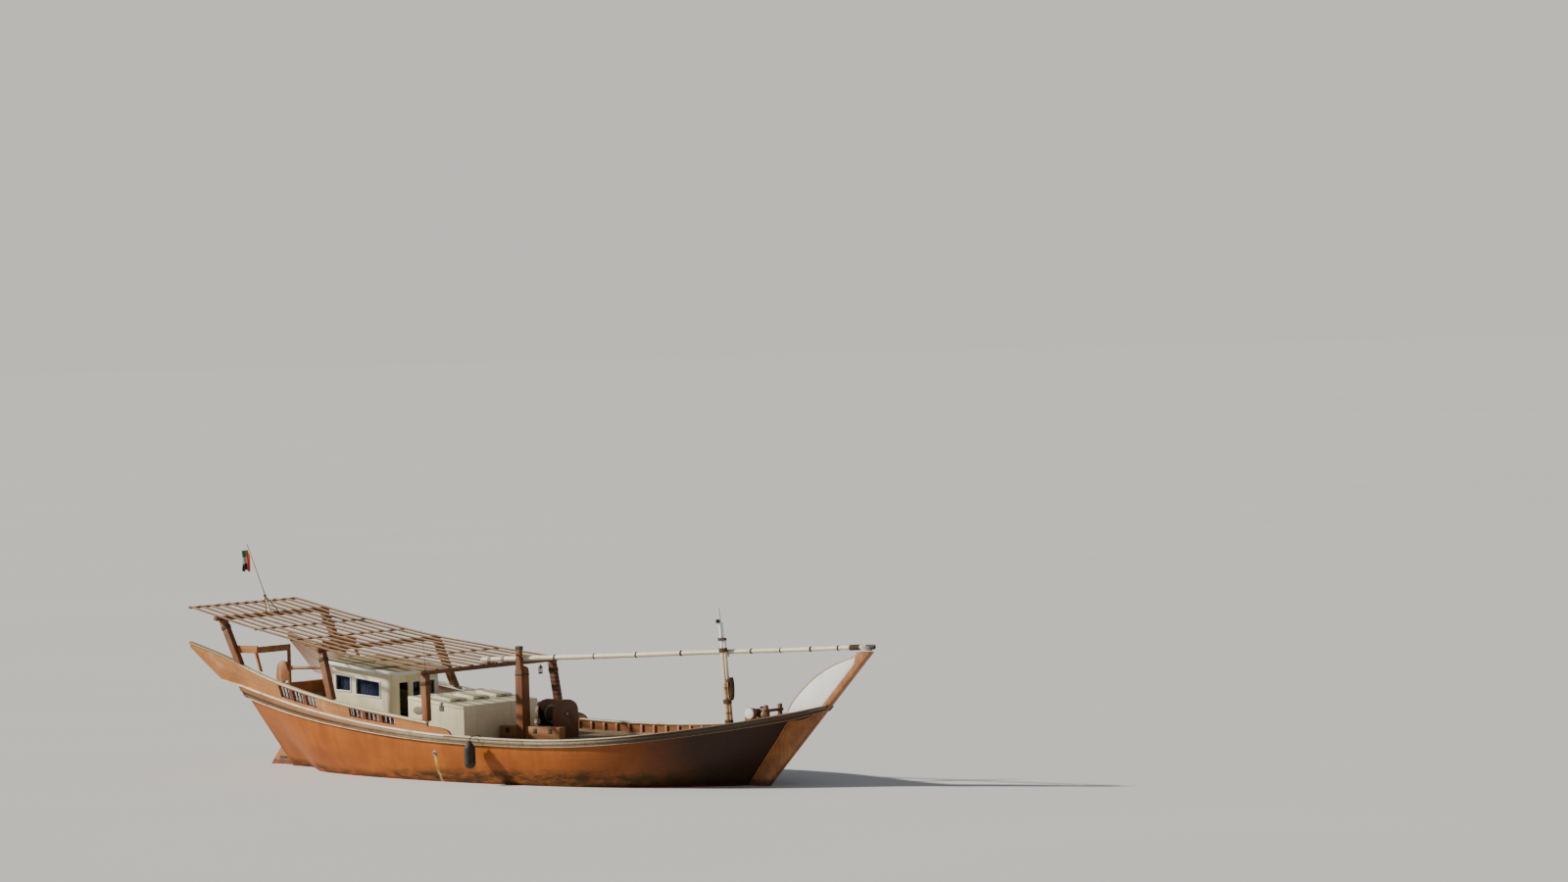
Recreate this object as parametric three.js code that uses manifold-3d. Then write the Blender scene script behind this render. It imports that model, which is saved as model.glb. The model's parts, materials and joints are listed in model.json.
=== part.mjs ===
// Wooden dhow afloat, with a slatted sun-shade over the stern, a wheelhouse, an ice box, a
// tabernacle, a short foremast and a long spar stowed fore and aft.
// Millimetres. +X is forward, +Y is port, +Z is up. The origin is on the centre line, at the
// waterline, near midships.

import * as THREE from 'three';
import { mergeVertices } from 'three/addons/utils/BufferGeometryUtils.js';
import Module from 'manifold-3d';

const wasm = await Module();
wasm.setup();

// Air left between pieces that touch
const GAP = 0.3;
const SIDES = { starboard: -1, port: 1 };

// Hull
const SHEER = { lowX: 2200, lowZ: 1530, riseAft: 7.6e-6, riseFore: 11.1e-6 };
const CAP_THICK = 70;
const BULWARK_THICK = 110;
const DECK_BELOW_SHEER = 400;
const FORE_DECK_BELOW_SHEER = 100;
const FORE_DECK_X = 8700;
const DECK_THICK = 60;
const KEEL_HALF = 120;
const PLANK_FOOT_HALF = 130;
const KEEL_BOTTOM_Z = -1900;
const BOW_BAND = 300;

// x: place at the waterline. lean: how far the station slants aft for each mm of height.
// half: half breadth at the top. foot: height of the planking's lower edge.
// bilge and floor: the two powers that round the section.
const STATIONS = [
  { x: -10600, lean: -0.167, half: 2200, foot: -480, bilge: 1.15, floor: 1.2 },
  { x: -10000, lean: -0.12, half: 2350, foot: -500, bilge: 1.25, floor: 1.12 },
  { x: -9500, lean: -0.08, half: 2460, foot: -520, bilge: 1.35, floor: 1.05 },
  { x: -8800, lean: -0.04, half: 2620, foot: -1000, bilge: 1.55, floor: 1.0 },
  { x: -8000, lean: 0, half: 2790, foot: -1450, bilge: 1.75, floor: 0.9 },
  { x: -6500, lean: 0, half: 3020, foot: -1530, bilge: 2.0, floor: 0.78 },
  { x: -5000, lean: 0, half: 3190, foot: -1540, bilge: 2.2, floor: 0.7 },
  { x: -3500, lean: 0, half: 3320, foot: -1540, bilge: 2.3, floor: 0.66 },
  { x: -2000, lean: 0, half: 3410, foot: -1530, bilge: 2.4, floor: 0.64 },
  { x: -500, lean: 0, half: 3460, foot: -1510, bilge: 2.4, floor: 0.62 },
  { x: 1000, lean: 0, half: 3475, foot: -1480, bilge: 2.4, floor: 0.62 },
  { x: 2500, lean: 0, half: 3455, foot: -1440, bilge: 2.35, floor: 0.64 },
  { x: 4000, lean: 0, half: 3370, foot: -1380, bilge: 2.2, floor: 0.68 },
  { x: 5300, lean: 0, half: 3180, foot: -1290, bilge: 2.0, floor: 0.74 },
  { x: 6500, lean: 0, half: 2870, foot: -1170, bilge: 1.75, floor: 0.82 },
  { x: 7500, lean: 0, half: 2470, foot: -980, bilge: 1.5, floor: 0.9 },
  { x: 8300, lean: 0, half: 2060, foot: -640, bilge: 1.35, floor: 0.95 },
  { x: 8690, lean: 0, half: 1838, foot: -400, bilge: 1.28, floor: 0.97 },
  { x: 8710, lean: 0, half: 1826, foot: -386, bilge: 1.28, floor: 0.97 },
  { x: 9060, lean: 0, half: 1610, foot: 0, bilge: 1.2, floor: 1.0 },
  { x: 9500, lean: 0, half: 1330, foot: 535, bilge: 1.12, floor: 1.0 },
  { x: 10000, lean: 0, half: 1010, foot: 1143, bilge: 1.05, floor: 1.0 },
  { x: 10400, lean: 0, half: 760, foot: 1628, bilge: 1.05, floor: 1.0 },
  { x: 10759, lean: 0, half: 560, foot: 2064, bilge: 1.05, floor: 1.0 },
  { x: 11300, lean: 0, half: 330, foot: 2145, bilge: 1.1, floor: 1.0 },
  { x: 9510, lean: 0.985, half: 150, foot: 2330, bilge: 1.2, floor: 1.0 },
];
const SECTION_STEPS = 9;

// Stem: the front edge is a straight rake of about 45 degrees
const STEM = { frontX: 9790, rake: 0.985, headZ: 4370, upperDepth: 280 - GAP };
// Stern: transom, post and the rudder's axis are parallel
const STERN = { rake: -0.167, hullX: -10600, transomThick: 70, postDepth: 150, axisAft: 60 };
const STERN_POST_TOP_Z = 2750;
const PROPELLER = { x: -9840, z: -1000, radius: 400, hub: 85, blades: 3 };
const APERTURE = { foreX: -9500, bottomZ: -1560 };
const SHAFT = { r: 45, bore: 46, foreX: -9100, boreEndX: -9080 };

// Quarter bulwark, the raised side that sweeps up past the stern
const WING = { tipX: -13350, tipDrop: 130, undersideX: -12000, foreX: -1700, scrollX: -700 };
const WINDOW_GROUPS = [
  { name: 'aft', from: -8930, to: -7000 },
  { name: 'fore', from: -5340, to: -3160 },
];
const WINDOW = { openings: 3, post: 170, sill: 90, head: 50, slats: 3 };

// Sun-shade
const ROOF_LINE = [
  [-13200, 5550], [-10000, 4865], [-6700, 4280], [-4300, 3955], [-1900, 3670],
];
const ROOF_HALF = [[-13200, 2620], [-8000, 2860], [-1900, 3320]];
const SLAT = { count: 12, wide: 90, thick: 45 };
const LATH = { xs: [-13160, -10000, -8300, -4300], wide: 90, deep: 50 };
const BEAM = { wide: 140, deep: 130, overhang: 120 };
const POST = 220;
// top: place of the post's head under its beam. foot: place of its foot on the rail.
const POSTS = [
  { name: 'stern', topX: -11800, topY: 2480, footX: -10830, footY: 2550 },
  { name: 'middle', topX: -6900, topY: 2850, footX: -6180, footY: 3100 },
  { name: 'fore', topX: -1980, topY: 3170, footX: -1800, footY: 3335 },
];

// Wheelhouse and ice box
const HOUSE = {
  aftX: -7900, foreX: -5200, half: 1250, wall: 60, corner: 330, roofAftX: -8130, roofForeX: -4930,
  roofHalf: 1480, roofAftZ: 3740, roofSlope: -0.1125, roofThick: 120,
};
const SIDE_WINDOWS = [[-7740, -7080], [-6830, -5760]];
const SIDE_WINDOW_Z = { below: 850, above: 330 };
const FRONT_WINDOWS = [[-240, 160], [460, 880]];
const DOORWAY = { fromY: -900, toY: -430, bottom: 160, top: 300 };
const DOOR_THICK = 36;
const ICE_BOX = {
  aftX: -4000, foreX: -1550, starboardY: -1800, portY: 1900, aftZ: 2640, slope: -0.11, wall: 90,
};
// x, y: the lid's centre. long, wide: its size.
const LIDS = [
  { name: 'starboard', x: -2860, y: -1080, long: 900, wide: 820 },
  { name: 'middle', x: -2860, y: 60, long: 900, wide: 820 },
  { name: 'port', x: -2860, y: 1200, long: 900, wide: 820 },
];
const LID = { thick: 70, seal: 6, lip: 60, pinBack: 25, pinUp: 24, pinR: 8, hole: 9, lug: 34 };

// Steering
const RUDDER = { half: 70, pinR: 25, eyeBore: 26, eyeR: 55, eyeHigh: 140, notchHigh: 160, notchDeep: 80 };
const PINTLES = [-1250, 250, 2250];
const TILLER = { foreX: -9570, foreZ: 3330, aftZ: 3300, aftR: 62, foreR: 42 };

// Deck gear
const SEAT = { aftX: -11250, foreX: -10200, outY: 2470, inY: 815, lowZ: 3980, topZ: 4230 };
const STAFF = { foot: [-11800, 0, 5060], head: [-12900, 0, 7510], r0: 38, r1: 22 };
const TABERNACLE = { x: -480, starboardY: -250, neckPortY: -100, portY: 130, shoulderZ: 3520, topZ: 4260 };
const MAST_STEP = { aftX: -1450, foreX: 1150, half: 150, topZ: 1620 };
const SPAR = { aftX: -2260, aftZ: 3762, foreX: 14190, foreZ: 4530, aftR: 92, foreR: 72 };
const FOREMAST = { footX: 8380, headX: 8130, y: -190, headZ: 5200, footR: 95, headR: 70, chockZ: 4176 };
const WINCH = { aftX: -350, foreX: 390, cheek: 110, y: 1000, half: 600, topZ: 2450, axisZ: 1960, drumR: 250 };
const WINDLASS = {
  x: 9400, axisZ: 2330, cheekY: 330, cheek: 80, half: 300, topZ: 2500, drumR: 120, wheelR: 170,
};
const FENDER = { x: 470, y: -3830, topZ: 1420, bottomZ: 560, r: 190 };

const material = (color, roughness, metalness = 0) =>
  new THREE.MeshStandardMaterial({ color, roughness, metalness });
const FINISH = {
  hull: material('#b4602a', 0.5),
  deck: material('#8c6a48', 0.8),
  keel: material('#7b3b22', 0.7),
  weathered: material('#8f8064', 0.8),
  pale: material('#e6dcc6', 0.6),
  wood: material('#b0673a', 0.7),
  darkWood: material('#6b2f1c', 0.7),
  slats: material('#b28a66', 0.8),
  cream: material('#ddd6a8', 0.5),
  white: material('#e9ecf2', 0.4),
  glass: material('#26356e', 0.1),
  rubber: material('#1c1b1a', 0.7),
  metal: material('#8d8d88', 0.4, 0.8),
  bronze: material('#a67c3d', 0.35, 0.9),
  spar: material('#e8e0c2', 0.5),
  flag: material('#9c2a20', 0.9),
};

const boat = new THREE.Group();

function geometryOf(solid) {
  const mesh = solid.getMesh();
  const geometry = new THREE.BufferGeometry();
  const positions = new Float32Array(mesh.numVert * 3);
  for (let i = 0; i < mesh.numVert; i++) {
    for (let k = 0; k < 3; k++) positions[i * 3 + k] = mesh.vertProperties[i * mesh.numProp + k];
  }
  geometry.setAttribute('position', new THREE.BufferAttribute(positions, 3));
  geometry.setIndex(new THREE.BufferAttribute(new Uint32Array(mesh.triVerts), 1));
  return geometry;
}

function solidOf(geometry) {
  const bare = geometry.clone();
  bare.deleteAttribute('normal');
  bare.deleteAttribute('uv');
  const merged = mergeVertices(bare, 1e-3);
  return new wasm.Manifold(new wasm.Mesh({
    numProp: 3,
    vertProperties: new Float32Array(merged.attributes.position.array),
    triVerts: new Uint32Array(merged.index.array),
  }));
}

// The mesh is placed at its pivot, so that a moving piece turns about its own origin
function add(name, solid, finish, pivot = [0, 0, 0], parent = boat) {
  const mesh = new THREE.Mesh(geometryOf(solid.translate(pivot.map((v) => -v))), FINISH[finish]);
  mesh.name = name;
  mesh.position.set(...pivot);
  parent.add(mesh);
  return mesh;
}

// Cuts a piece back from the pieces that it sits against, leaving the gap along each shift
function seat(piece, supports, shifts = [[0, 0, GAP]]) {
  return shifts.reduce((whole, shift) =>
    supports.reduce((rest, support) => rest.subtract(support.translate(shift)), whole), piece);
}

// Drops the slivers that a cut leaves behind
const largest = (solid) => solid.decompose().sort((a, b) => b.volume() - a.volume())[0];

const mirrored = (solid) => solid.mirror([0, 1, 0]);

const join = (pieces) => pieces.reduce((whole, piece) => whole.add(piece));

function box(x0, x1, y0, y1, z0, z1) {
  const geometry = new THREE.BoxGeometry(x1 - x0, y1 - y0, z1 - z0);
  geometry.translate((x0 + x1) / 2, (y0 + y1) / 2, (z0 + z1) / 2);
  return solidOf(geometry);
}

// A plate whose outline is drawn in side view (x, z) and whose faces are at y0 and y1
function sidePlate(points, y0, y1) {
  const shape = new THREE.Shape(points.map(([x, z]) => new THREE.Vector2(x, z)));
  const geometry = new THREE.ExtrudeGeometry(shape, { depth: y1 - y0, bevelEnabled: false });
  geometry.rotateX(Math.PI / 2);
  geometry.translate(0, y1, 0);
  return solidOf(geometry);
}

// A plate whose outline is drawn in end view (y, z) and whose faces are at x0 and x1
function endPlate(points, x0, x1) {
  const shape = new THREE.Shape(points.map(([y, z]) => new THREE.Vector2(y, z)));
  const geometry = new THREE.ExtrudeGeometry(shape, { depth: x1 - x0, bevelEnabled: false });
  geometry.rotateX(Math.PI / 2);
  geometry.rotateZ(Math.PI / 2);
  geometry.translate(x0, 0, 0);
  return solidOf(geometry);
}

// A plate whose outline is drawn in plan (x, y) and whose faces are at z0 and z1
function planPlate(points, z0, z1) {
  const shape = new THREE.Shape(points.map(([x, y]) => new THREE.Vector2(x, y)));
  const geometry = new THREE.ExtrudeGeometry(shape, { depth: z1 - z0, bevelEnabled: false });
  geometry.translate(0, 0, z0);
  return solidOf(geometry);
}

// Turns a shape made along +Z from the origin so that it runs from one point to another
function placeAlong(geometry, from, to) {
  const start = new THREE.Vector3(...from);
  const way = new THREE.Vector3(...to).sub(start).normalize();
  const turn = new THREE.Quaternion().setFromUnitVectors(new THREE.Vector3(0, 0, 1), way);
  geometry.applyQuaternion(turn);
  geometry.translate(start.x, start.y, start.z);
  return geometry;
}

const distance = (a, b) => Math.hypot(b[0] - a[0], b[1] - a[1], b[2] - a[2]);

function pole(from, to, r0, r1, sides = 12) {
  const long = distance(from, to);
  const geometry = new THREE.CylinderGeometry(r1, r0, long, sides);
  geometry.rotateX(Math.PI / 2);
  geometry.translate(0, 0, long / 2);
  return solidOf(placeAlong(geometry, from, to));
}

function timber(from, to, wide, deep) {
  const long = distance(from, to);
  const geometry = new THREE.BoxGeometry(wide, deep, long);
  geometry.translate(0, 0, long / 2);
  return solidOf(placeAlong(geometry, from, to));
}

// A solid whose ends and ribs are closed loops with the same number of points.
// The end loops are filled in the plane of the two named axes.
function loft(loops, axes = [1, 2]) {
  const n = loops[0].length;
  const index = [];
  for (let s = 0; s + 1 < loops.length; s++) {
    for (let i = 0; i < n; i++) {
      const a = s * n + i;
      const b = s * n + ((i + 1) % n);
      index.push(a, b, b + n, a, b + n, a + n);
    }
  }
  for (const end of [0, loops.length - 1]) {
    const outline = loops[end].map((p) => new THREE.Vector2(p[axes[0]], p[axes[1]]));
    const turn = Math.sign(THREE.ShapeUtils.area(outline));
    for (const [i, j, k] of THREE.ShapeUtils.triangulateShape(outline, [])) {
      const same = Math.sign(THREE.ShapeUtils.area([outline[i], outline[j], outline[k]])) === turn;
      const forward = same === (end !== 0);
      index.push(end * n + i, end * n + (forward ? j : k), end * n + (forward ? k : j));
    }
  }
  const points = loops.flat();
  let volume = 0;
  for (let t = 0; t < index.length; t += 3) {
    const [a, b, c] = index.slice(t, t + 3).map((i) => new THREE.Vector3(...points[i]));
    volume += a.dot(b.cross(c));
  }
  const outward = volume > 0 ? index : index.reverse();
  const geometry = new THREE.BufferGeometry();
  geometry.setAttribute('position', new THREE.Float32BufferAttribute(points.flat(), 3));
  geometry.setIndex(outward);
  return solidOf(geometry);
}

function lookUp(table, x) {
  let i = 0;
  while (i + 2 < table.length && x > table[i + 1][0]) i += 1;
  const [x0, v0] = table[i];
  const [x1, v1] = table[i + 1];
  return v0 + ((v1 - v0) * (x - x0)) / (x1 - x0);
}

// Hull form
const sheerCurve = (x) => {
  const rise = x < SHEER.lowX ? SHEER.riseAft : SHEER.riseFore;
  return SHEER.lowZ + rise * (x - SHEER.lowX) ** 2;
};

// Height of a slanted station's top edge, found by stepping towards it
function topOf(station) {
  let z = sheerCurve(station.x);
  for (let i = 0; i < 20; i++) z = sheerCurve(station.x + station.lean * z) - CAP_THICK;
  return z;
}

// The sheer runs straight between the stations, and every piece along it keeps to these points
const TOP_HALF = STATIONS.map((s) => [s.x + s.lean * topOf(s), s.half]);
const topHalf = (x) => lookUp(TOP_HALF, x);
const SHEER_LINE = [WING.tipX, -12500, WING.undersideX, ...TOP_HALF.map(([x]) => x), 12330]
  .map((x) => [x, sheerCurve(x)]);
const sheer = (x) => lookUp(SHEER_LINE, x);

const place = (station, y, z) => [station.x + station.lean * z, y, z];

function halfBreadth(station, z) {
  const s = (z - station.foot) / (topOf(station) - station.foot);
  const swell = (1 - (1 - Math.min(s, 1)) ** station.bilge) ** station.floor;
  return PLANK_FOOT_HALF + (station.half - PLANK_FOOT_HALF) * swell;
}

// Starboard half of a section
function hullLoop(station) {
  const top = topOf(station);
  const side = [];
  for (let i = 0; i <= SECTION_STEPS; i++) {
    const z = station.foot + (top - station.foot) * (i / SECTION_STEPS) ** 1.35;
    side.push([halfBreadth(station, z), z]);
  }
  return [[0, station.foot], ...side.map(([y, z]) => [-y, z]), [0, top]]
    .map(([y, z]) => place(station, y, z));
}

function strip(xs, corners) {
  return loft(xs.map((x) => corners(x).map(([y, z]) => [x, y, z])));
}
const range = (from, to, steps) =>
  Array.from({ length: steps + 1 }, (_, i) => from + ((to - from) * i) / steps);

// The space inside the hull's sides, from a depth below the sheer to well above the rail
const WELL_HEADROOM = 500;
function well(stations, depth, slack = 0) {
  return loft(stations.map((station) => {
    const edge = topOf(station) + CAP_THICK;
    const floorHalf = halfBreadth(station, edge - depth) - BULWARK_THICK;
    const spread = (station.half - BULWARK_THICK - floorHalf) / depth;
    const low = edge - depth + slack;
    const high = edge + WELL_HEADROOM;
    const inner = (z) => Math.max(floorHalf + spread * (z - edge + depth), 25) - slack;
    return [[-inner(low), low], [inner(low), low], [inner(high), high], [-inner(high), high]]
      .map(([y, z]) => place(station, y, z));
  }));
}

// Everything above a level that is set by its depth below the sheer
const above = (depth) => strip(SHEER_LINE.map(([x]) => x), (x) =>
  [[-5000, sheer(x) - depth], [5000, sheer(x) - depth], [5000, 9000], [-5000, 9000]]);

// A plane parallel to the stern, at a distance aft of the hull's end
const sternX = (z, aft = 0) => STERN.hullX - aft + STERN.rake * z;

// Deck planking lies in the hull's well; the fore deck is nearly level with the rail
const END_WALL = 100;
const stepAt = STATIONS.findIndex((station) => station.x > FORE_DECK_X);
const moved = (station, by) => ({ ...station, x: station.x + by });
const aftWell = (slack) => [moved(STATIONS[0], END_WALL + slack), ...STATIONS.slice(1, stepAt - 1),
  moved(STATIONS[stepAt - 1], -slack)];
const foreWell = (slack) => [moved(STATIONS[stepAt], slack), ...STATIONS.slice(stepAt + 1, -1),
  moved(STATIONS.at(-1), -END_WALL - slack)];
const mainDepth = DECK_BELOW_SHEER + DECK_THICK;
const foreDepth = FORE_DECK_BELOW_SHEER + DECK_THICK;
const hullHalf = loft(STATIONS.map(hullLoop));
// The whole shell, which everything outside and on deck is seated on
const shell = hullHalf.add(mirrored(hullHalf)).subtract(well(aftWell(0), mainDepth))
  .subtract(well(foreWell(0), foreDepth));
// It is parted at the underside of the main deck: hull below, a bulwark along each side above
const deckEndX = STATIONS[stepAt - 1].x;
const overDeck = (slack) => {
  const low = (x) => sheer(x) - mainDepth + slack;
  const xs = [...SHEER_LINE.map(([x]) => x).filter((x) => x < deckEndX), deckEndX - slack];
  return strip(xs, (x) => [[-5000, low(x)], [5000, low(x)], [5000, 9000], [-5000, 9000]]);
};
const hull = shell.subtract(overDeck(0));
add('hull', hull, 'hull');
const upperWorks = shell.intersect(overDeck(GAP));
const sternSlab = (fore) => sidePlate([
  [sternX(-1000, -fore), -1000], [sternX(6000, -fore), 6000], [-15000, 6000], [-15000, -1000],
], -5000, 5000);
for (const [name, side] of Object.entries(SIDES)) {
  const [y0, y1] = [Math.min(side * 5000, 0), Math.max(side * 5000, 0)];
  const half = upperWorks.subtract(sternSlab(END_WALL + GAP))
    .intersect(box(-15000, 15000, y0, y1, -2000, 9000));
  add(`bulwark_${name}`, largest(half), 'hull');
}
const mainDeck = largest(well(aftWell(GAP), mainDepth, GAP).subtract(above(DECK_BELOW_SHEER)));
const foreDeck = largest(well(foreWell(GAP), foreDepth, GAP).subtract(above(FORE_DECK_BELOW_SHEER)));
add('main_deck', mainDeck, 'deck');
add('fore_deck', foreDeck, 'deck');

// Keel, with the deadwood that ends at the propeller's aperture
const keelX = 6500;
const postFore = STERN.transomThick + GAP;
const keelTop = STATIONS.filter((s) => s.x >= APERTURE.foreX && s.x <= keelX && s.lean < 0.5)
  .map((s) => [s.x + s.lean * s.foot, s.foot - GAP]);
const keel = seat(sidePlate([
  ...keelTop,
  [keelX - GAP, KEEL_BOTTOM_Z],
  [sternX(KEEL_BOTTOM_Z, postFore - GAP), KEEL_BOTTOM_Z],
  [sternX(APERTURE.bottomZ, postFore - GAP), APERTURE.bottomZ],
  [APERTURE.foreX, APERTURE.bottomZ],
], -KEEL_HALF, KEEL_HALF), [shell], [[0, 0, -GAP]]).subtract(pole(
  [APERTURE.foreX - 50, 0, PROPELLER.z], [SHAFT.boreEndX, 0, PROPELLER.z], SHAFT.bore, SHAFT.bore, 24,
));
add('keel', keel, 'keel');

// Stem: forefoot, straight front edge and stem head
const stemX = (z, back = 0) => STEM.frontX - back + STEM.rake * z;
const stemFoot = STATIONS.filter((s) => s.x >= keelX && s.lean < 0.5).map((s) => [s.x + GAP, s.foot - GAP]);
const bandFoot = sheer(11900) - BOW_BAND - GAP;
const stem = seat(sidePlate([
  [keelX, KEEL_BOTTOM_Z], [7600, KEEL_BOTTOM_Z + 90], [8300, KEEL_BOTTOM_Z + 420], [stemX(-930), -930],
  [stemX(STEM.headZ), STEM.headZ], [stemX(STEM.headZ, 560), STEM.headZ - 10],
  [stemX(3960, STEM.upperDepth), 3960], [stemX(bandFoot, STEM.upperDepth), bandFoot],
  ...stemFoot.reverse(),
], -KEEL_HALF, KEEL_HALF), [shell, foreDeck], [[GAP, 0, 0]]);
add('stem_post', stem, 'wood');

// White board that fills the angle between the stem head and the fore deck
const board = seat(sidePlate([
  [10620, 2300], [12100, 2500], [stemX(3960, 200), 3960], [13480, 4240], [13010, 4080],
  [12600, 3930], [12190, 3740], [11800, 3510], [11400, 3210], [11050, 2890], [10800, 2620],
], -40, 40), [shell, foreDeck, stem], [[0, 0, 0], [0, 0, GAP], [GAP, 0, 0], [-GAP, 0, 0], [GAP, 0, GAP]]);
add('stem_board', board, 'white');

// Flat stern, with the end wall of the deck's well inside it
const transomPlate = (() => {
  const station = STATIONS[0];
  const top = topOf(station);
  const side = [];
  for (let i = 0; i <= SECTION_STEPS; i++) {
    const z = station.foot + ((top - station.foot) * i) / SECTION_STEPS;
    side.push([halfBreadth(station, z), z]);
  }
  const loop = [...side.map(([y, z]) => [-y, z]), ...side.map(([y, z]) => [y, z]).reverse()];
  return loft([GAP, STERN.transomThick].map((aft) =>
    loop.map(([y, z]) => [sternX(z, aft), y, z])));
})();
const endWall = upperWorks.intersect(sternSlab(END_WALL));
add('transom', transomPlate.add(endWall.translate([-2 * GAP, 0, 0])), 'hull');

const postOutline = (aft0, aft1, z0, z1) => [
  [sternX(z0, aft1), z0], [sternX(z0, aft0), z0], [sternX(z1, aft0), z1], [sternX(z1, aft1), z1],
];
const postAft = postFore + STERN.postDepth;
const axisX = (z) => sternX(z, postAft + STERN.axisAft);
const onAxis = (z) => [axisX(z), 0, z];
// Iron eyes on the post, one for each of the rudder's pins
const gudgeons = PINTLES.map((z) => {
  const [low, high] = [z - RUDDER.eyeHigh / 2, z + RUDDER.eyeHigh / 2];
  const eye = pole(onAxis(low), onAxis(high), RUDDER.eyeR, RUDDER.eyeR, 16);
  const arm = sidePlate(postOutline(postAft - 20, postAft + STERN.axisAft, low, high), -30, 30);
  const bore = pole(onAxis(low - 60), onAxis(high + 60), RUDDER.eyeBore, RUDDER.eyeBore, 16);
  return eye.add(arm).subtract(bore);
});
const sternPost = join([seat(sidePlate(
  postOutline(postFore, postAft, KEEL_BOTTOM_Z, STERN_POST_TOP_Z), -KEEL_HALF, KEEL_HALF,
), [shell], [[-GAP, 0, 0]]), ...gudgeons]);
add('stern_post', sternPost, 'keel');

// Rudder with its pins; the tiller is let into its head
const rudderOutline = [
  [axisX(-1850), -1850], [axisX(2790), 2790], [axisX(2830) + 60, 2850], [-11030, 2870], [-11060, 3180],
  [-11180, 3500], [-11420, 3530], [-11560, 3400], [axisX(3000) - 250, 3000], [axisX(1500) - 300, 1500],
  [axisX(700) - 420, 700], [axisX(200) - 900, 200], [axisX(0) - 1080, 0], [axisX(-700) - 1240, -700],
  [axisX(-1500) - 1240, -1500], [axisX(-1850) - 1080, -1850],
];
const notches = PINTLES.map((z) => sidePlate(postOutline(
  postAft - 100, postAft + STERN.axisAft + RUDDER.notchDeep,
  z - RUDDER.notchHigh / 2, z + RUDDER.notchHigh / 2,
), -200, 200));
const pins = PINTLES.map((z) => pole(
  onAxis(z - RUDDER.notchHigh / 2 - 60), onAxis(z + RUDDER.notchHigh / 2 + 60),
  RUDDER.pinR, RUDDER.pinR, 16));
const rudderBlade = join([
  notches.reduce((rest, notch) => rest.subtract(notch), sidePlate(rudderOutline, -RUDDER.half, RUDDER.half)),
  ...pins,
]);
const rudder = new THREE.Group();
boat.add(rudder);
const rudderPivot = onAxis(0);
rudder.position.set(...rudderPivot);
const tiller = seat(pole(
  [-11200, 0, TILLER.aftZ], [TILLER.foreX, 0, TILLER.foreZ], TILLER.aftR, TILLER.foreR, 12,
), [rudderBlade], [[GAP, 0, 0]]);
for (const [name, solid, finish] of [
  ['rudder', rudderBlade, 'keel'], ['tiller', largest(tiller), 'pale'],
]) {
  add(name, solid.translate(rudderPivot.map((v) => -v)), finish, [0, 0, 0], rudder);
}

// Propeller and its shaft, made about their own axis
const bladeShape = new THREE.Shape();
bladeShape.absellipse(0, PROPELLER.radius / 2 + 20, 125, PROPELLER.radius / 2 - 20, 0, Math.PI * 2);
const propellerBlades = Array.from({ length: PROPELLER.blades }, (_, i) => {
  const blade = new THREE.ExtrudeGeometry(bladeShape, { depth: 26, bevelEnabled: false, curveSegments: 10 });
  blade.translate(0, 0, -13);
  blade.rotateX(Math.PI / 2);
  blade.rotateZ(Math.PI / 2 - 0.65);
  blade.rotateX((i * Math.PI * 2) / PROPELLER.blades);
  return solidOf(blade);
});
const propeller = join([
  pole([-90, 0, 0], [110, 0, 0], 60, PROPELLER.hub, 16),
  pole([0, 0, 0], [SHAFT.foreX - PROPELLER.x, 0, 0], SHAFT.r, SHAFT.r, 24),
  ...propellerBlades,
]);
const propellerPivot = [PROPELLER.x, 0, PROPELLER.z];
add('propeller', propeller.translate(propellerPivot), 'bronze', propellerPivot);

// Wales: a rounded timber along each side, from the stern to the stem
const WALE_DEPTH = [[-11300, 520], [-8000, 400], [-5000, 330], [-2000, 290], [1000, 245], [12400, 235]];
// down: part of the wale's depth. out: how far it stands out from the planking.
const WALE_SECTION = [
  { down: 0, out: 95 }, { down: 0.3, out: 114 }, { down: 0.68, out: 90 }, { down: 0.78, out: 56 },
  { down: 0.86, out: 84 }, { down: 1, out: 80 },
];
// let: how far its back is let into the planking, before the planking is cut out of it
const waleStations = [
  { ...moved(STATIONS[0], -190), let: -25 }, { ...STATIONS[0], let: -25 },
  ...STATIONS.slice(1, -1).map((station) => ({ ...station, let: 40 })),
  { ...moved(STATIONS.at(-1), -60), let: 40 },
];
function waleLoop(station, side) {
  const top = topOf(station) - GAP;
  const depth = lookUp(WALE_DEPTH, station.x + station.lean * top) - CAP_THICK;
  const outer = WALE_SECTION.map(({ down, out }) => {
    const z = top - depth * down;
    return place(station, side * (halfBreadth(station, z) + out), z);
  });
  const inner = [1, 0].map((down) => {
    const z = top - depth * down;
    return place(station, side * (halfBreadth(station, z) - station.let), z);
  });
  return [...outer, ...inner];
}
const wholeWale = loft(waleStations.map((s) => waleLoop(s, SIDES.starboard)));
const wale = largest(seat(wholeWale, [shell], [[0, -GAP, 0]]));
add('wale_starboard', wale, 'weathered');
add('wale_port', mirrored(wale), 'weathered');

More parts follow.
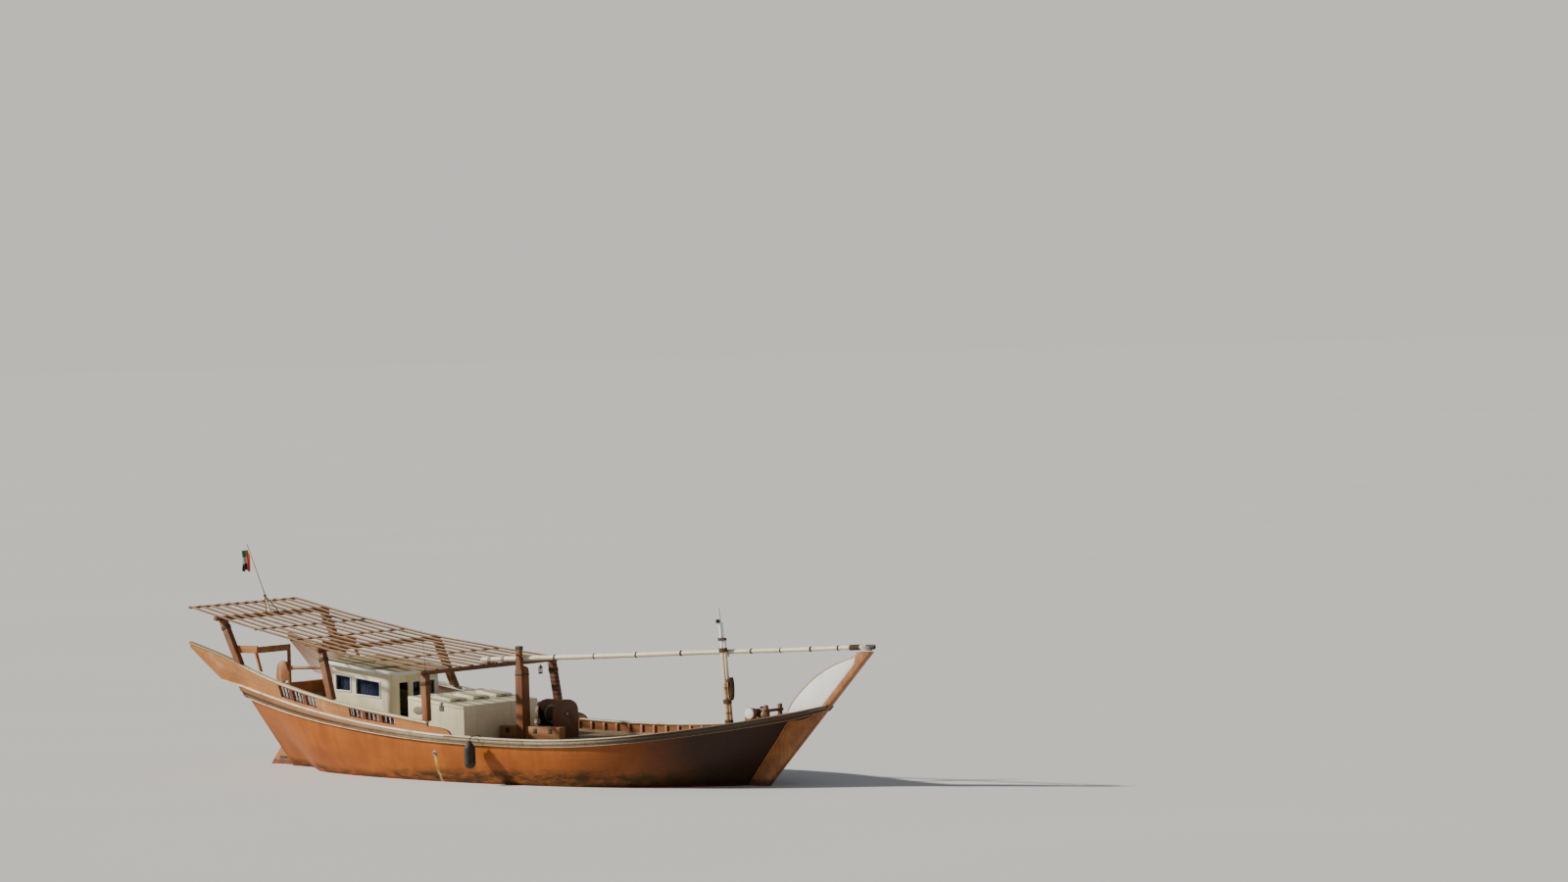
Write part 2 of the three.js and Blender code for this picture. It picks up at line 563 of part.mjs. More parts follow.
// Rails
const RAIL = { scrollLap: 200, lastX: 11700, foreX: 12330 };
const railMiddle = TOP_HALF.map(([x]) => x)
  .filter((x) => x > WING.scrollX && x < RAIL.lastX && Math.abs(x - FORE_DECK_X) > 20);
const railXs = [WING.scrollX - RAIL.scrollLap, ...railMiddle, RAIL.foreX];
const rails = {};
for (const [name, side] of Object.entries(SIDES)) {
  rails[name] = strip(railXs, (x) => {
    const y = topHalf(Math.min(x, 12000));
    const inner = Math.max(y - BULWARK_THICK - 50, KEEL_HALF + 2);
    const z = sheer(x);
    const low = z - CAP_THICK + GAP;
    return [[inner, low], [y + 118, low], [y + 130, z - 35], [y + 118, z], [inner, z]]
      .map(([w, h]) => [side * w, h]);
  });
  add(`rail_cap_${name}`, rails[name], 'pale');
}

// Quarter bulwarks with their windows
const WALL_THICK = 75;
const WING_RISE = [
  [-13350, 890], [-11800, 830], [-10500, 690], [-9000, 560], [-6000, 440], [-3300, 370], [-1700, 290],
];
const WING_FLARE = [[-13200, 120], [-11000, 350], [-8000, 180], [-4000, 90], [-700, 10]];
const wingTop = (x) => sheer(x) + lookUp(WING_RISE, x);
const [transomTopX, transomHalf] = TOP_HALF[0];
const wingY = (x, z) => {
  const rise = lookUp(WING_RISE, Math.min(x, WING.foreX)) + CAP_THICK;
  const up = (z - sheer(x) + CAP_THICK) / rise;
  const foot = x < transomTopX ? transomHalf + (transomTopX - x) * 0.06 : topHalf(x);
  return foot + lookUp(WING_FLARE, x) * Math.min(Math.max(up, 0), 1.2);
};
function wingUnderside(x) {
  if (x > WING.undersideX) return sheer(x) - CAP_THICK + GAP;
  const part = (WING.undersideX - x) / (WING.undersideX - WING.tipX);
  const tip = wingTop(WING.tipX) - WING.tipDrop;
  return sheer(WING.undersideX) - CAP_THICK + part * (tip - sheer(WING.undersideX) + CAP_THICK);
}
const wingXs = [
  WING.tipX, -12500, WING.undersideX, ...TOP_HALF.map(([x]) => x).filter((x) => x < WING.foreX - 100),
  WING.foreX,
];
function bulwarkCorners(x, low, high, side, thick) {
  const outerLow = wingY(x, low);
  const outerHigh = wingY(x, high);
  return [[outerLow, low], [outerHigh, high], [outerHigh - thick, high], [outerLow - thick, low]]
    .map(([y, z]) => [side * y, z]);
}
const windowSpans = (group) => {
  const span = (group.to - group.from - WINDOW.post * (WINDOW.openings - 1)) / WINDOW.openings;
  return Array.from({ length: WINDOW.openings }, (_, i) => {
    const from = group.from + i * (span + WINDOW.post);
    return [from, from + span];
  });
};
const quarterCaps = {};
for (const [name, side] of Object.entries(SIDES)) {
  let wall = strip(wingXs, (x) => bulwarkCorners(x, wingUnderside(x), wingTop(x), side, WALL_THICK));
  // Scrolled end, where the bulwark steps down to the rail
  const scroll = strip([WING.foreX, -1300, -1000, -820, WING.scrollX], (x) => {
    const part = (x - WING.foreX) / (WING.scrollX - WING.foreX);
    const rise = 200 * Math.sqrt(Math.max(1 - part ** 4, 0.02));
    return bulwarkCorners(x, sheer(x) - CAP_THICK + GAP, sheer(x) + rise, side, WALL_THICK);
  });
  wall = wall.add(scroll);
  for (const group of WINDOW_GROUPS) {
    for (const [from, to] of windowSpans(group)) {
      wall = wall.subtract(strip([from, to], (x) => {
        const low = sheer(x) + WINDOW.sill;
        const high = wingTop(x) - WINDOW.head;
        return [[2000, low], [4000, low], [4000, high], [2000, high]].map(([y, z]) => [side * y, z]);
      }));
    }
  }
  // A rounded moulding runs along the outside of its foot
  const moulding = strip([...wingXs.slice(2, -1), WING.scrollX - RAIL.scrollLap - 5], (x) => {
    const z = sheer(x);
    const low = z - CAP_THICK + GAP;
    const [y, inside] = [wingY(x, low), WALL_THICK / 2];
    const outside = [[y - inside, low], [y + 108, low], [y + 120, z - 35], [y + 100, z - 6]];
    return [...outside, [wingY(x, z - 6) - inside, z - 6]].map(([w, h]) => [side * w, h]);
  });
  const railShifts = [[0, 0, 0], [0, 0, GAP], [-GAP, 0, 0]];
  const bulwark = largest(seat(wall.add(moulding), [rails[name]], railShifts));
  add(`quarter_bulwark_${name}`, bulwark, 'hull');

  quarterCaps[name] = strip(wingXs, (x) => {
    const z = wingTop(x) + GAP;
    const middle = wingY(x, z) - WALL_THICK / 2;
    return [[middle - 85, z], [middle + 85, z], [middle + 85, z + 60], [middle - 85, z + 60]]
      .map(([y, h]) => [side * y, h]);
  });
  add(`quarter_cap_${name}`, quarterCaps[name], 'pale');

  // White bars behind the openings, on one long sill and one long head rail
  const bar = (xs, lowAt, highAt) => strip(xs, (x) => {
    const outer = bulwarkCorners(x, lowAt(x), highAt(x), side, 0).slice(0, 2);
    const [near, far] = [WALL_THICK + 1.4, WALL_THICK + 40];
    const inward = (by) => outer.map(([y, z]) => [y - side * by, z]);
    return [...inward(near), ...inward(far).reverse()];
  });
  const barXs = [-8970, ...TOP_HALF.map(([x]) => x).filter((x) => x > -8900 && x < -3200), -3120];
  const sillBar = bar(barXs, (x) => sheer(x) + 30, (x) => sheer(x) + 80);
  const headBar = bar(barXs, (x) => wingTop(x) - 55, (x) => wingTop(x) - 15);
  const slats = WINDOW_GROUPS.flatMap(windowSpans).flatMap(([from, to]) =>
    Array.from({ length: WINDOW.slats }, (_, i) => {
      const middle = from + ((to - from) * (i + 0.5)) / WINDOW.slats;
      return bar([middle - 28, middle + 28], (x) => sheer(x) + 40, (x) => wingTop(x) - 25);
    }));
  add(`balusters_${name}`, join([sillBar, headBar, ...slats]), 'white');
}

// Sun-shade: slats on thin laths, carried by three heavy beams on six posts
const roofTop = (x) => lookUp(ROOF_LINE, x);
const roofHalf = (x) => lookUp(ROOF_HALF, x);
const roofXs = ROOF_LINE.map(([x]) => x);
const slats = Array.from({ length: SLAT.count }, (_, i) => {
  const across = -1 + (2 * i) / (SLAT.count - 1);
  return strip(roofXs, (x) => {
    const y = across * (roofHalf(x) - SLAT.wide / 2);
    const z = roofTop(x);
    const half = SLAT.wide / 2;
    return [[y - half, z - SLAT.thick], [y + half, z - SLAT.thick], [y + half, z], [y - half, z]];
  });
});
const laths = LATH.xs.map((x) => strip([x - LATH.wide / 2, x + LATH.wide / 2], (at) => {
  const z = roofTop(Math.max(at, WING.tipX)) - SLAT.thick + 12;
  const y = roofHalf(Math.max(at, WING.tipX));
  return [[-y, z - LATH.deep], [y, z - LATH.deep], [y, z], [-y, z]];
}));
const roof = join([...slats, ...laths]);
add('roof_slats', roof, 'slats');

const beams = {};
for (const post of POSTS) {
  const [aft, fore] = [post.topX - BEAM.wide / 2, post.topX + BEAM.wide / 2];
  beams[post.name] = strip([aft, fore], (x) => {
    const end = roofHalf(x) + BEAM.overhang;
    const top = roofTop(x) - SLAT.thick - GAP;
    return [[-end, top - BEAM.deep], [end, top - BEAM.deep], [end, top], [-end, top]];
  });
  // The fore beam carries a bolster under the spar's after end
  if (post.name === 'fore') {
    beams.fore = beams.fore.add(box(aft, fore, -150, 150, SPAR.aftZ - 170, SPAR.aftZ - 70));
  }
  add(`roof_beam_${post.name}`, beams[post.name], 'darkWood');
}
// Everything below the top of the quarter caps
const belowCaps = strip(wingXs, (x) => {
  const top = wingTop(x) + 60 + 3 * GAP;
  return [[-5000, -3000], [5000, -3000], [5000, top], [-5000, top]];
});
const posts = {};
for (const [name, side] of Object.entries(SIDES)) {
  for (const post of POSTS) {
    const headZ = roofTop(post.topX) - SLAT.thick - BEAM.deep - 60;
    const from = [post.footX, side * post.footY, wingTop(post.footX) - 150];
    const to = [post.topX, side * post.topY, roofTop(post.topX)];
    const standing = timber(from, to, POST, POST)
      .subtract(box(post.topX - 900, post.topX + 900, -4000, 4000, headZ + 60, 9000));
    const key = `${post.name}_${name}`;
    posts[key] = largest(seat(standing.subtract(belowCaps), [beams[post.name]], [[0, 0, -GAP]]));
    add(`roof_post_${key}`, posts[key], 'wood');
  }
}

// Seats at the stern, one each side, so that the tiller can swing between them
const deckZ = (x) => sheer(x) - DECK_BELOW_SHEER;
for (const [name, side] of Object.entries(SIDES)) {
  const across = (y0, y1) => [Math.min(side * y0, side * y1), Math.max(side * y0, side * y1)];
  const legX = SEAT.foreX - 30;
  const pieces = [
    box(SEAT.aftX, SEAT.foreX, ...across(SEAT.inY, SEAT.outY), SEAT.lowZ, SEAT.lowZ + 45),
    box(SEAT.aftX, SEAT.foreX, ...across(SEAT.outY - 60, SEAT.outY), SEAT.lowZ, SEAT.topZ),
    box(SEAT.foreX - 60, SEAT.foreX, ...across(SEAT.inY, SEAT.outY), SEAT.lowZ, SEAT.topZ - 40),
    timber([legX - 60, side * (SEAT.outY - 45), SEAT.lowZ + 20], [-9960, side * 2480, 3180], 90, 90)
      .subtract(belowCaps),
    box(SEAT.foreX - 90, SEAT.foreX, ...across(SEAT.inY, SEAT.inY + 90), 2000, SEAT.lowZ + 20),
  ];
  const offDeck = seat(join(pieces), [mainDeck, shell]);
  const seated = seat(offDeck, [posts[`stern_${name}`]], [[GAP, 0, 0], [0, -side * GAP, 0]]);
  add(`stern_seat_${name}`, largest(seated), 'wood');
}

// Flagstaff on the stern beam, with a limp flag
const staff = largest(seat(pole(STAFF.foot, STAFF.head, STAFF.r0, STAFF.r1, 10), [beams.stern]));
add('flagstaff', staff, 'spar');
const folds = [[0, 0], [-90, 55], [-170, -25], [-260, 60], [-330, -10], [-400, 40]];
const flagX = -12790;
const flagOutline = [
  ...folds.map(([x, y]) => [flagX + x, y]), ...[...folds].reverse().map(([x, y]) => [flagX + x - 6, y + 16]),
];
const flag = planPlate(flagOutline, 6600, 7330)
  .subtract(sidePlate([[-13400, 6500], [-13000, 6500], [-13400, 7100]], -200, 200))
  .subtract(pole(STAFF.foot, STAFF.head, STAFF.r0 + GAP, STAFF.r1 + GAP, 10));
add('flag', largest(flag), 'flag');

// Wheelhouse: walls from the deck to the sloping roof, rounded where the front meets the sides
const roofUnder = (x) => HOUSE.roofAftZ - HOUSE.roofThick + HOUSE.roofSlope * (x - HOUSE.roofAftX);
const houseXs = STATIONS.map((s) => s.x).filter((x) => x > HOUSE.aftX && x < HOUSE.foreX);
const houseLow = [HOUSE.aftX - 50, ...houseXs, HOUSE.foreX + 50];
const houseVoid = [
  sidePlate([
    ...houseLow.map((x) => [x, deckZ(x) + GAP]), [HOUSE.foreX + 50, 500], [HOUSE.aftX - 50, 500],
  ], -2000, 2000),
  sidePlate([
    [HOUSE.aftX - 50, roofUnder(HOUSE.aftX - 50) - GAP],
    [HOUSE.foreX + 50, roofUnder(HOUSE.foreX + 50) - GAP],
    [HOUSE.foreX + 50, 5000], [HOUSE.aftX - 50, 5000],
  ], -2000, 2000),
];
const trimmed = (wall) => houseVoid.reduce((rest, piece) => rest.subtract(piece), wall);
const cornerArc = (x, y, r, side) => Array.from({ length: 6 }, (_, i) => {
  const turn = (i / 5) * (Math.PI / 2);
  return [x + r * Math.sin(turn), side * (y + r * Math.cos(turn))];
});
const [cornerX, cornerY] = [HOUSE.foreX - HOUSE.corner, HOUSE.half - HOUSE.corner];
const innerR = HOUSE.corner - HOUSE.wall;
const frontPlan = [
  ...cornerArc(cornerX, cornerY, HOUSE.corner, -1), ...cornerArc(cornerX, cornerY, HOUSE.corner, 1).reverse(),
  ...cornerArc(cornerX, cornerY, innerR, 1), ...cornerArc(cornerX, cornerY, innerR, -1).reverse(),
];
const [sillZ, lintelZ] = [deckZ(HOUSE.foreX) + DOORWAY.bottom, roofUnder(HOUSE.foreX) - DOORWAY.top];
const frontCuts = [
  box(HOUSE.foreX - 200, HOUSE.foreX + 200, DOORWAY.fromY, DOORWAY.toY, sillZ, lintelZ),
  ...FRONT_WINDOWS.map(([from, to]) =>
    box(HOUSE.foreX - 200, HOUSE.foreX + 200, from, to, sillZ + 700, lintelZ)),
];
const hingeX = HOUSE.foreX - HOUSE.wall / 2;
const hingeY = DOORWAY.fromY + 24;
const front = [...frontCuts, pole([hingeX, hingeY, sillZ - 40], [hingeX, hingeY, lintelZ + 40], 9, 9, 12)]
  .reduce((rest, cut) => rest.subtract(cut), trimmed(planPlate(frontPlan, 1000, 4200)));
add('wheelhouse_front', front, 'cream');
const windowHoles = SIDE_WINDOWS.map(([from, to]) => [
  [from, deckZ(from) + SIDE_WINDOW_Z.below], [to, deckZ(to) + SIDE_WINDOW_Z.below + 60],
  [to, roofUnder(to) - SIDE_WINDOW_Z.above], [from, roofUnder(from) - SIDE_WINDOW_Z.above],
]);
for (const [name, side] of Object.entries(SIDES)) {
  const [y0, y1] = [side * HOUSE.half, side * (HOUSE.half - HOUSE.wall)].sort((a, b) => a - b);
  const wall = trimmed(box(HOUSE.aftX + HOUSE.wall + GAP, cornerX - GAP, y0, y1, 1000, 4200));
  const cut = windowHoles.reduce((rest, hole) => rest.subtract(sidePlate(hole, y0 - 50, y1 + 50)), wall);
  add(`wheelhouse_side_${name}`, cut, 'cream');
  const [g0, g1] = [GAP, 14].map((depth) => side * (HOUSE.half - HOUSE.wall - depth)).sort((a, b) => a - b);
  const glass = sidePlate([
    [-7790, windowHoles[0][0][1] - 60], [-5700, windowHoles[1][1][1] - 60],
    [-5700, roofUnder(-5700) - 260], [-7790, roofUnder(-7790) - 260],
  ], g0, g1);
  add(`wheelhouse_glass_${name}`, glass, 'glass');
}
const frontGlass = box(HOUSE.foreX - HOUSE.wall - 14, HOUSE.foreX - HOUSE.wall - GAP, -290, cornerY - 10,
  sillZ + 650, lintelZ + 50);
add('wheelhouse_glass_front', frontGlass, 'glass');
const backWall = box(HOUSE.aftX, HOUSE.aftX + HOUSE.wall, -HOUSE.half, HOUSE.half, 1000, 4200);
add('wheelhouse_back', trimmed(backWall), 'cream');

// Open, the door stands inside, square to the front wall
const doorLow = sillZ + 8;
const doorHigh = lintelZ - 8;
const door = join([
  box(-436, 0, -DOOR_THICK / 2, DOOR_THICK / 2, doorLow, doorHigh),
  pole([0, 0, doorLow], [0, 0, doorHigh], DOOR_THICK / 2, DOOR_THICK / 2, 12),
  pole([0, 0, doorLow - 32], [0, 0, doorHigh + 32], 8, 8, 12),
]);
const doorPivot = [hingeX, hingeY, 0];
add('wheelhouse_door', door.translate(doorPivot), 'pale', doorPivot);

const roofCorner = 160;
const roofPlan = [
  [HOUSE.roofAftX, -HOUSE.roofHalf + roofCorner], [HOUSE.roofAftX + roofCorner, -HOUSE.roofHalf],
  ...cornerArc(HOUSE.roofForeX - 400, HOUSE.roofHalf - 400, 400, -1),
  ...cornerArc(HOUSE.roofForeX - 400, HOUSE.roofHalf - 400, 400, 1).reverse(),
  [HOUSE.roofAftX + roofCorner, HOUSE.roofHalf], [HOUSE.roofAftX, HOUSE.roofHalf - roofCorner],
];
const houseRoof = planPlate(roofPlan.map(([x, y]) => [x - HOUSE.roofAftX, y]), 0, HOUSE.roofThick)
  .warp((v) => { v[2] += HOUSE.roofSlope * v[0]; })
  .translate([HOUSE.roofAftX, 0, HOUSE.roofAftZ - HOUSE.roofThick]);
add('wheelhouse_roof', houseRoof, 'white');

// Ice box with three hatches, and their lids on pins
const boxTop = (x) => ICE_BOX.aftZ + ICE_BOX.slope * (x - ICE_BOX.aftX);
const boxXs = [
  ICE_BOX.aftX, ...STATIONS.map((s) => s.x).filter((x) => x > ICE_BOX.aftX && x < ICE_BOX.foreX),
  ICE_BOX.foreX,
];
const boxBody = (inset) => sidePlate([
  ...boxXs.map((x) => [
    Math.min(Math.max(x, ICE_BOX.aftX + inset), ICE_BOX.foreX - inset), deckZ(x) + GAP + inset]),
  [ICE_BOX.foreX - inset, boxTop(ICE_BOX.foreX) - inset],
  [ICE_BOX.aftX + inset, boxTop(ICE_BOX.aftX) - inset],
], ICE_BOX.starboardY + inset, ICE_BOX.portY - inset);
const tilt = Math.atan(-ICE_BOX.slope);
const onBoxTop = (solid, lid) => solid.rotate([0, (tilt * 180) / Math.PI, 0])
  .translate([lid.x - lid.long / 2, lid.y, boxTop(lid.x - lid.long / 2)]);
const pinHalf = LIDS[0].wide / 2 + LID.lug;
const pinAt = [-LID.pinBack, 0, LID.pinUp];
const pinAlong = (r, half) => pole([pinAt[0], -half, pinAt[2]], [pinAt[0], half, pinAt[2]], r, r, 12);
const lugs = LIDS.flatMap((lid) => [-1, 1].map((end) => {
  const middle = end * (lid.wide / 2 + 6 + LID.lug / 2);
  const lug = box(
    -LID.pinBack - 20, -LID.pinBack + 20, middle - LID.lug / 2, middle + LID.lug / 2, -20, LID.pinUp + 20);
  return onBoxTop(lug, lid);
}));
const hatches = LIDS.map((lid) =>
  onBoxTop(box(
    LID.lip, lid.long - LID.lip, -lid.wide / 2 + LID.lip, lid.wide / 2 - LID.lip, -300, 100), lid));
const pinHoles = LIDS.map((lid) => onBoxTop(pinAlong(LID.hole, pinHalf + 60), lid));
const iceBox = [boxBody(ICE_BOX.wall), ...hatches, ...pinHoles]
  .reduce((rest, cut) => rest.subtract(cut), join([boxBody(0), ...lugs]));
add('ice_box', iceBox, 'cream');
for (const lid of LIDS) {
  const knuckle = box(-LID.pinBack - 10, 30, -lid.wide / 2, lid.wide / 2, LID.pinUp - 14, LID.pinUp + 14);
  const body = join([
    box(0, lid.long, -lid.wide / 2, lid.wide / 2, LID.seal, LID.seal + LID.thick),
    knuckle, pinAlong(LID.pinR, pinHalf + 4),
  ]);
  const pivot = new THREE.Vector3(...pinAt).applyAxisAngle(new THREE.Vector3(0, 1, 0), tilt)
    .add(new THREE.Vector3(lid.x - lid.long / 2, lid.y, boxTop(lid.x - lid.long / 2)));
  add(`ice_box_lid_${lid.name}`, onBoxTop(body, lid), 'cream', pivot.toArray());
}

// Mast step and tabernacle
const onDeck = (piece, deck = mainDeck) => largest(seat(piece, [deck, shell]));
const mastStep = onDeck(
  box(MAST_STEP.aftX, MAST_STEP.foreX, -MAST_STEP.half, MAST_STEP.half, 900, MAST_STEP.topZ));
add('mast_step', mastStep, 'darkWood');

// One heavy post stands over the step. Its port side is cut away at the top, where the spar passes
const neckedProfile = [[140, 900], [140, 3450], [115, 3520], [75, 3900], [75, 4110], [100, 4130]];
const neckedHalf = [...neckedProfile, [100, TABERNACLE.topZ]];
const neckedOutline = [
  ...neckedHalf.map(([w, z]) => [TABERNACLE.x + w, z]),
  ...[...neckedHalf].reverse().map(([w, z]) => [TABERNACLE.x - w, z]),
];
const beyond = 200;
const besideNeck = endPlate([
  [TABERNACLE.neckPortY, TABERNACLE.shoulderZ + 120], [TABERNACLE.portY + beyond, TABERNACLE.shoulderZ - 60],
  [TABERNACLE.portY + beyond, TABERNACLE.topZ + beyond], [TABERNACLE.neckPortY, TABERNACLE.topZ + beyond],
], TABERNACLE.x - beyond, TABERNACLE.x + beyond);
const heavyPost = sidePlate(neckedOutline, TABERNACLE.starboardY, TABERNACLE.portY).subtract(besideNeck);
add('tabernacle_post', onDeck(seat(heavyPost, [mastStep], [[0, 0, GAP], [0, GAP, 0], [0, -GAP, 0]])), 'wood');

// Winch: a drum between two round-topped boards
const cheekOutline = [
  [WINCH.y - WINCH.half, 900], [WINCH.y + WINCH.half, 900], [WINCH.y + WINCH.half, WINCH.topZ - 350],
  ...range(0.15, 0.85, 6).map((t) => [
    WINCH.y + WINCH.half * Math.cos(Math.PI * t), WINCH.topZ - 350 + 350 * Math.sin(Math.PI * t)]),
  [WINCH.y - WINCH.half, WINCH.topZ - 350],
];
const cheekAt = (x) => endPlate(cheekOutline, x, x + WINCH.cheek);
const stretcher = (y) => box(WINCH.aftX, WINCH.foreX + WINCH.cheek, y - 60, y + 60, 1180, 1320);
const winchBore = pole(
  [WINCH.aftX - 50, WINCH.y, WINCH.axisZ], [WINCH.foreX + WINCH.cheek + 50, WINCH.y, WINCH.axisZ],
  57, 57, 24);
const winchFrame = onDeck(join([
  cheekAt(WINCH.aftX), cheekAt(WINCH.foreX), stretcher(WINCH.y - 420), stretcher(WINCH.y + 420),
])).subtract(winchBore);
add('winch_frame', winchFrame, 'darkWood');
const drumLow = WINCH.aftX + WINCH.cheek + 10;
const drumHigh = WINCH.foreX - 10;
const winchPivot = [(drumLow + drumHigh) / 2, WINCH.y, WINCH.axisZ];
const along = (x0, x1, r, sides) => pole([x0, WINCH.y, WINCH.axisZ], [x1, WINCH.y, WINCH.axisZ], r, r, sides);
add('winch_drum', join([
  along(drumLow, drumHigh, 190, 20),
  along(drumLow, drumLow + 45, 300, 20), along(drumHigh - 45, drumHigh, 300, 20),
  along(WINCH.aftX - 40, WINCH.foreX + WINCH.cheek + 40, 56, 24),
]), 'metal', winchPivot);

// Bow windlass: a barrel with a wheel at each end
const windlassCheek = (y) => sidePlate([
  [WINDLASS.x - WINDLASS.half, 1900], [WINDLASS.x + WINDLASS.half, 1900], [WINDLASS.x + 130, WINDLASS.topZ],
  [WINDLASS.x - 130, WINDLASS.topZ],
], y - WINDLASS.cheek / 2, y + WINDLASS.cheek / 2);
const windlassTie = (x) => box(x - 50, x + 50, -WINDLASS.cheekY, WINDLASS.cheekY, 2000, 2110);
const acrossAxis = (y0, y1, r, sides = 16) =>
  pole([WINDLASS.x, y0, WINDLASS.axisZ], [WINDLASS.x, y1, WINDLASS.axisZ], r, r, sides);
const windlassFrame = onDeck(join([
  windlassCheek(-WINDLASS.cheekY), windlassCheek(WINDLASS.cheekY),
  windlassTie(WINDLASS.x - 220), windlassTie(WINDLASS.x + 220),
]), foreDeck).subtract(acrossAxis(-500, 500, 41, 24));
add('windlass_frame', windlassFrame, 'wood');
const barrelHalf = WINDLASS.cheekY - WINDLASS.cheek / 2 - 10;
const wheelY = WINDLASS.cheekY + WINDLASS.cheek / 2 + 10;
add('windlass_drum', join([
  acrossAxis(-barrelHalf, barrelHalf, WINDLASS.drumR), acrossAxis(-wheelY - 60, wheelY + 60, 40, 24),
  acrossAxis(-wheelY - 60, -wheelY, WINDLASS.wheelR), acrossAxis(wheelY, wheelY + 60, WINDLASS.wheelR),
]), 'pale', [WINDLASS.x, 0, WINDLASS.axisZ]);

// Foremast, with a second pole lashed to its fore side and a chock for the spar
const mastAt = (x, z) => [x, FOREMAST.y, z];
const foremast = onDeck(join([
  pole(
    mastAt(FOREMAST.footX, 1400), mastAt(FOREMAST.headX, FOREMAST.headZ), FOREMAST.footR, FOREMAST.headR, 14),
  pole(mastAt(FOREMAST.headX + 10, 4900), mastAt(FOREMAST.headX - 80, 5670), 40, 28, 8),
  pole(mastAt(FOREMAST.footX + 120, 1400), mastAt(8270, 4700), 58, 48, 10),
  box(8060, 8230, FOREMAST.y + 20, 100, FOREMAST.chockZ - 90, FOREMAST.chockZ),
]));
add('foremast', foremast, 'spar');

// Long spar, stowed fore and aft above the deck
const spar = seat(pole(
  [SPAR.aftX, 0, SPAR.aftZ], [SPAR.foreX, 0, SPAR.foreZ], SPAR.aftR, SPAR.foreR, 16,
), [roof, beams.fore, foremast, stem]);
add('spar', largest(spar), 'spar');

// Fender hung from the rail
const fenderProfile = [
  [0, FENDER.bottomZ], [110, FENDER.bottomZ + 30], [FENDER.r, FENDER.bottomZ + 140],
  [FENDER.r, FENDER.topZ - 160],
  [120, FENDER.topZ - 40], [0, FENDER.topZ],
].map(([r, z]) => new THREE.Vector2(r, z));
const fenderBody = new THREE.LatheGeometry(fenderProfile, 16);
fenderBody.rotateX(Math.PI / 2);
fenderBody.translate(FENDER.x, FENDER.y, 0);
const strap = endPlate([
  [FENDER.y - 25, FENDER.topZ - 100], [FENDER.y + 25, FENDER.topZ - 100], [FENDER.y + 25, 1560],
  [-3400, 1540], [-3400, 1590], [FENDER.y - 25, 1612],
], FENDER.x - 30, FENDER.x + 30);
add('fender', seat(solidOf(fenderBody).add(strap), [rails.starboard]), 'rubber');

export default boat;
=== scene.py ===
# Wooden dhow afloat, with a slatted sun-shade, a wheelhouse, an ice box and a long stowed spar.
# Metres. +X is forward, +Y is port, +Z is up. The origin is on the centre line at the waterline.
import json
import math
import random

import bmesh
import bpy
from mathutils import Matrix, Vector


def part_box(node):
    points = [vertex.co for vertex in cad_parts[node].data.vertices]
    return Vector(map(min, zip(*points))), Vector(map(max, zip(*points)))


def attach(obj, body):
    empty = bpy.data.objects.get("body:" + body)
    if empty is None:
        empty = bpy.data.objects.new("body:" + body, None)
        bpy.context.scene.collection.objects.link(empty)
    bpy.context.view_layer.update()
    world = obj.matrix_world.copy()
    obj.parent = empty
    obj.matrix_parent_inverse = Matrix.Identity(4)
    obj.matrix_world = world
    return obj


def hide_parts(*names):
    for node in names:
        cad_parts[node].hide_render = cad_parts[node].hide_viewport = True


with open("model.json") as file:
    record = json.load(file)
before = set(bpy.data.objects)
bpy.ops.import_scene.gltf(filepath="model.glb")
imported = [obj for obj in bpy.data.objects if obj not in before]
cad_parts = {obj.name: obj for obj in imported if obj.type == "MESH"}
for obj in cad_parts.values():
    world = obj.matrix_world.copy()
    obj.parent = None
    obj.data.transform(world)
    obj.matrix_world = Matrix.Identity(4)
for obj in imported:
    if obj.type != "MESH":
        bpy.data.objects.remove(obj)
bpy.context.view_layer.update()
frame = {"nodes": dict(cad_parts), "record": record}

random.seed(7)

RECORD = frame["record"]
BODY_OF = {node: body for body, members in RECORD["behaviour"]["bodies"].items() for node in members}
SLOT_OF = {part["node"]: part["material_slot"] for part in RECORD["subparts"]}
SIDES = {"starboard": -1, "port": 1}

# Hull form
CAP = 0.07
DECK_DOWN = 0.4
FORE_DECK_DOWN = 0.1
GARBOARD_HALF = 0.13
SECTION_STEPS, PLANK_THICK, DECK_PLANK = 13, 0.11, 0.145
OUTLET_X, OUTLET_Z = -1.45, 0.97
# The rudder hangs on a line that crosses the water here and leans aft
HINGE_X, STERN_RAKE = -10.8803, -0.167
STEM_SIDE = 0.122
STRAKES = 44
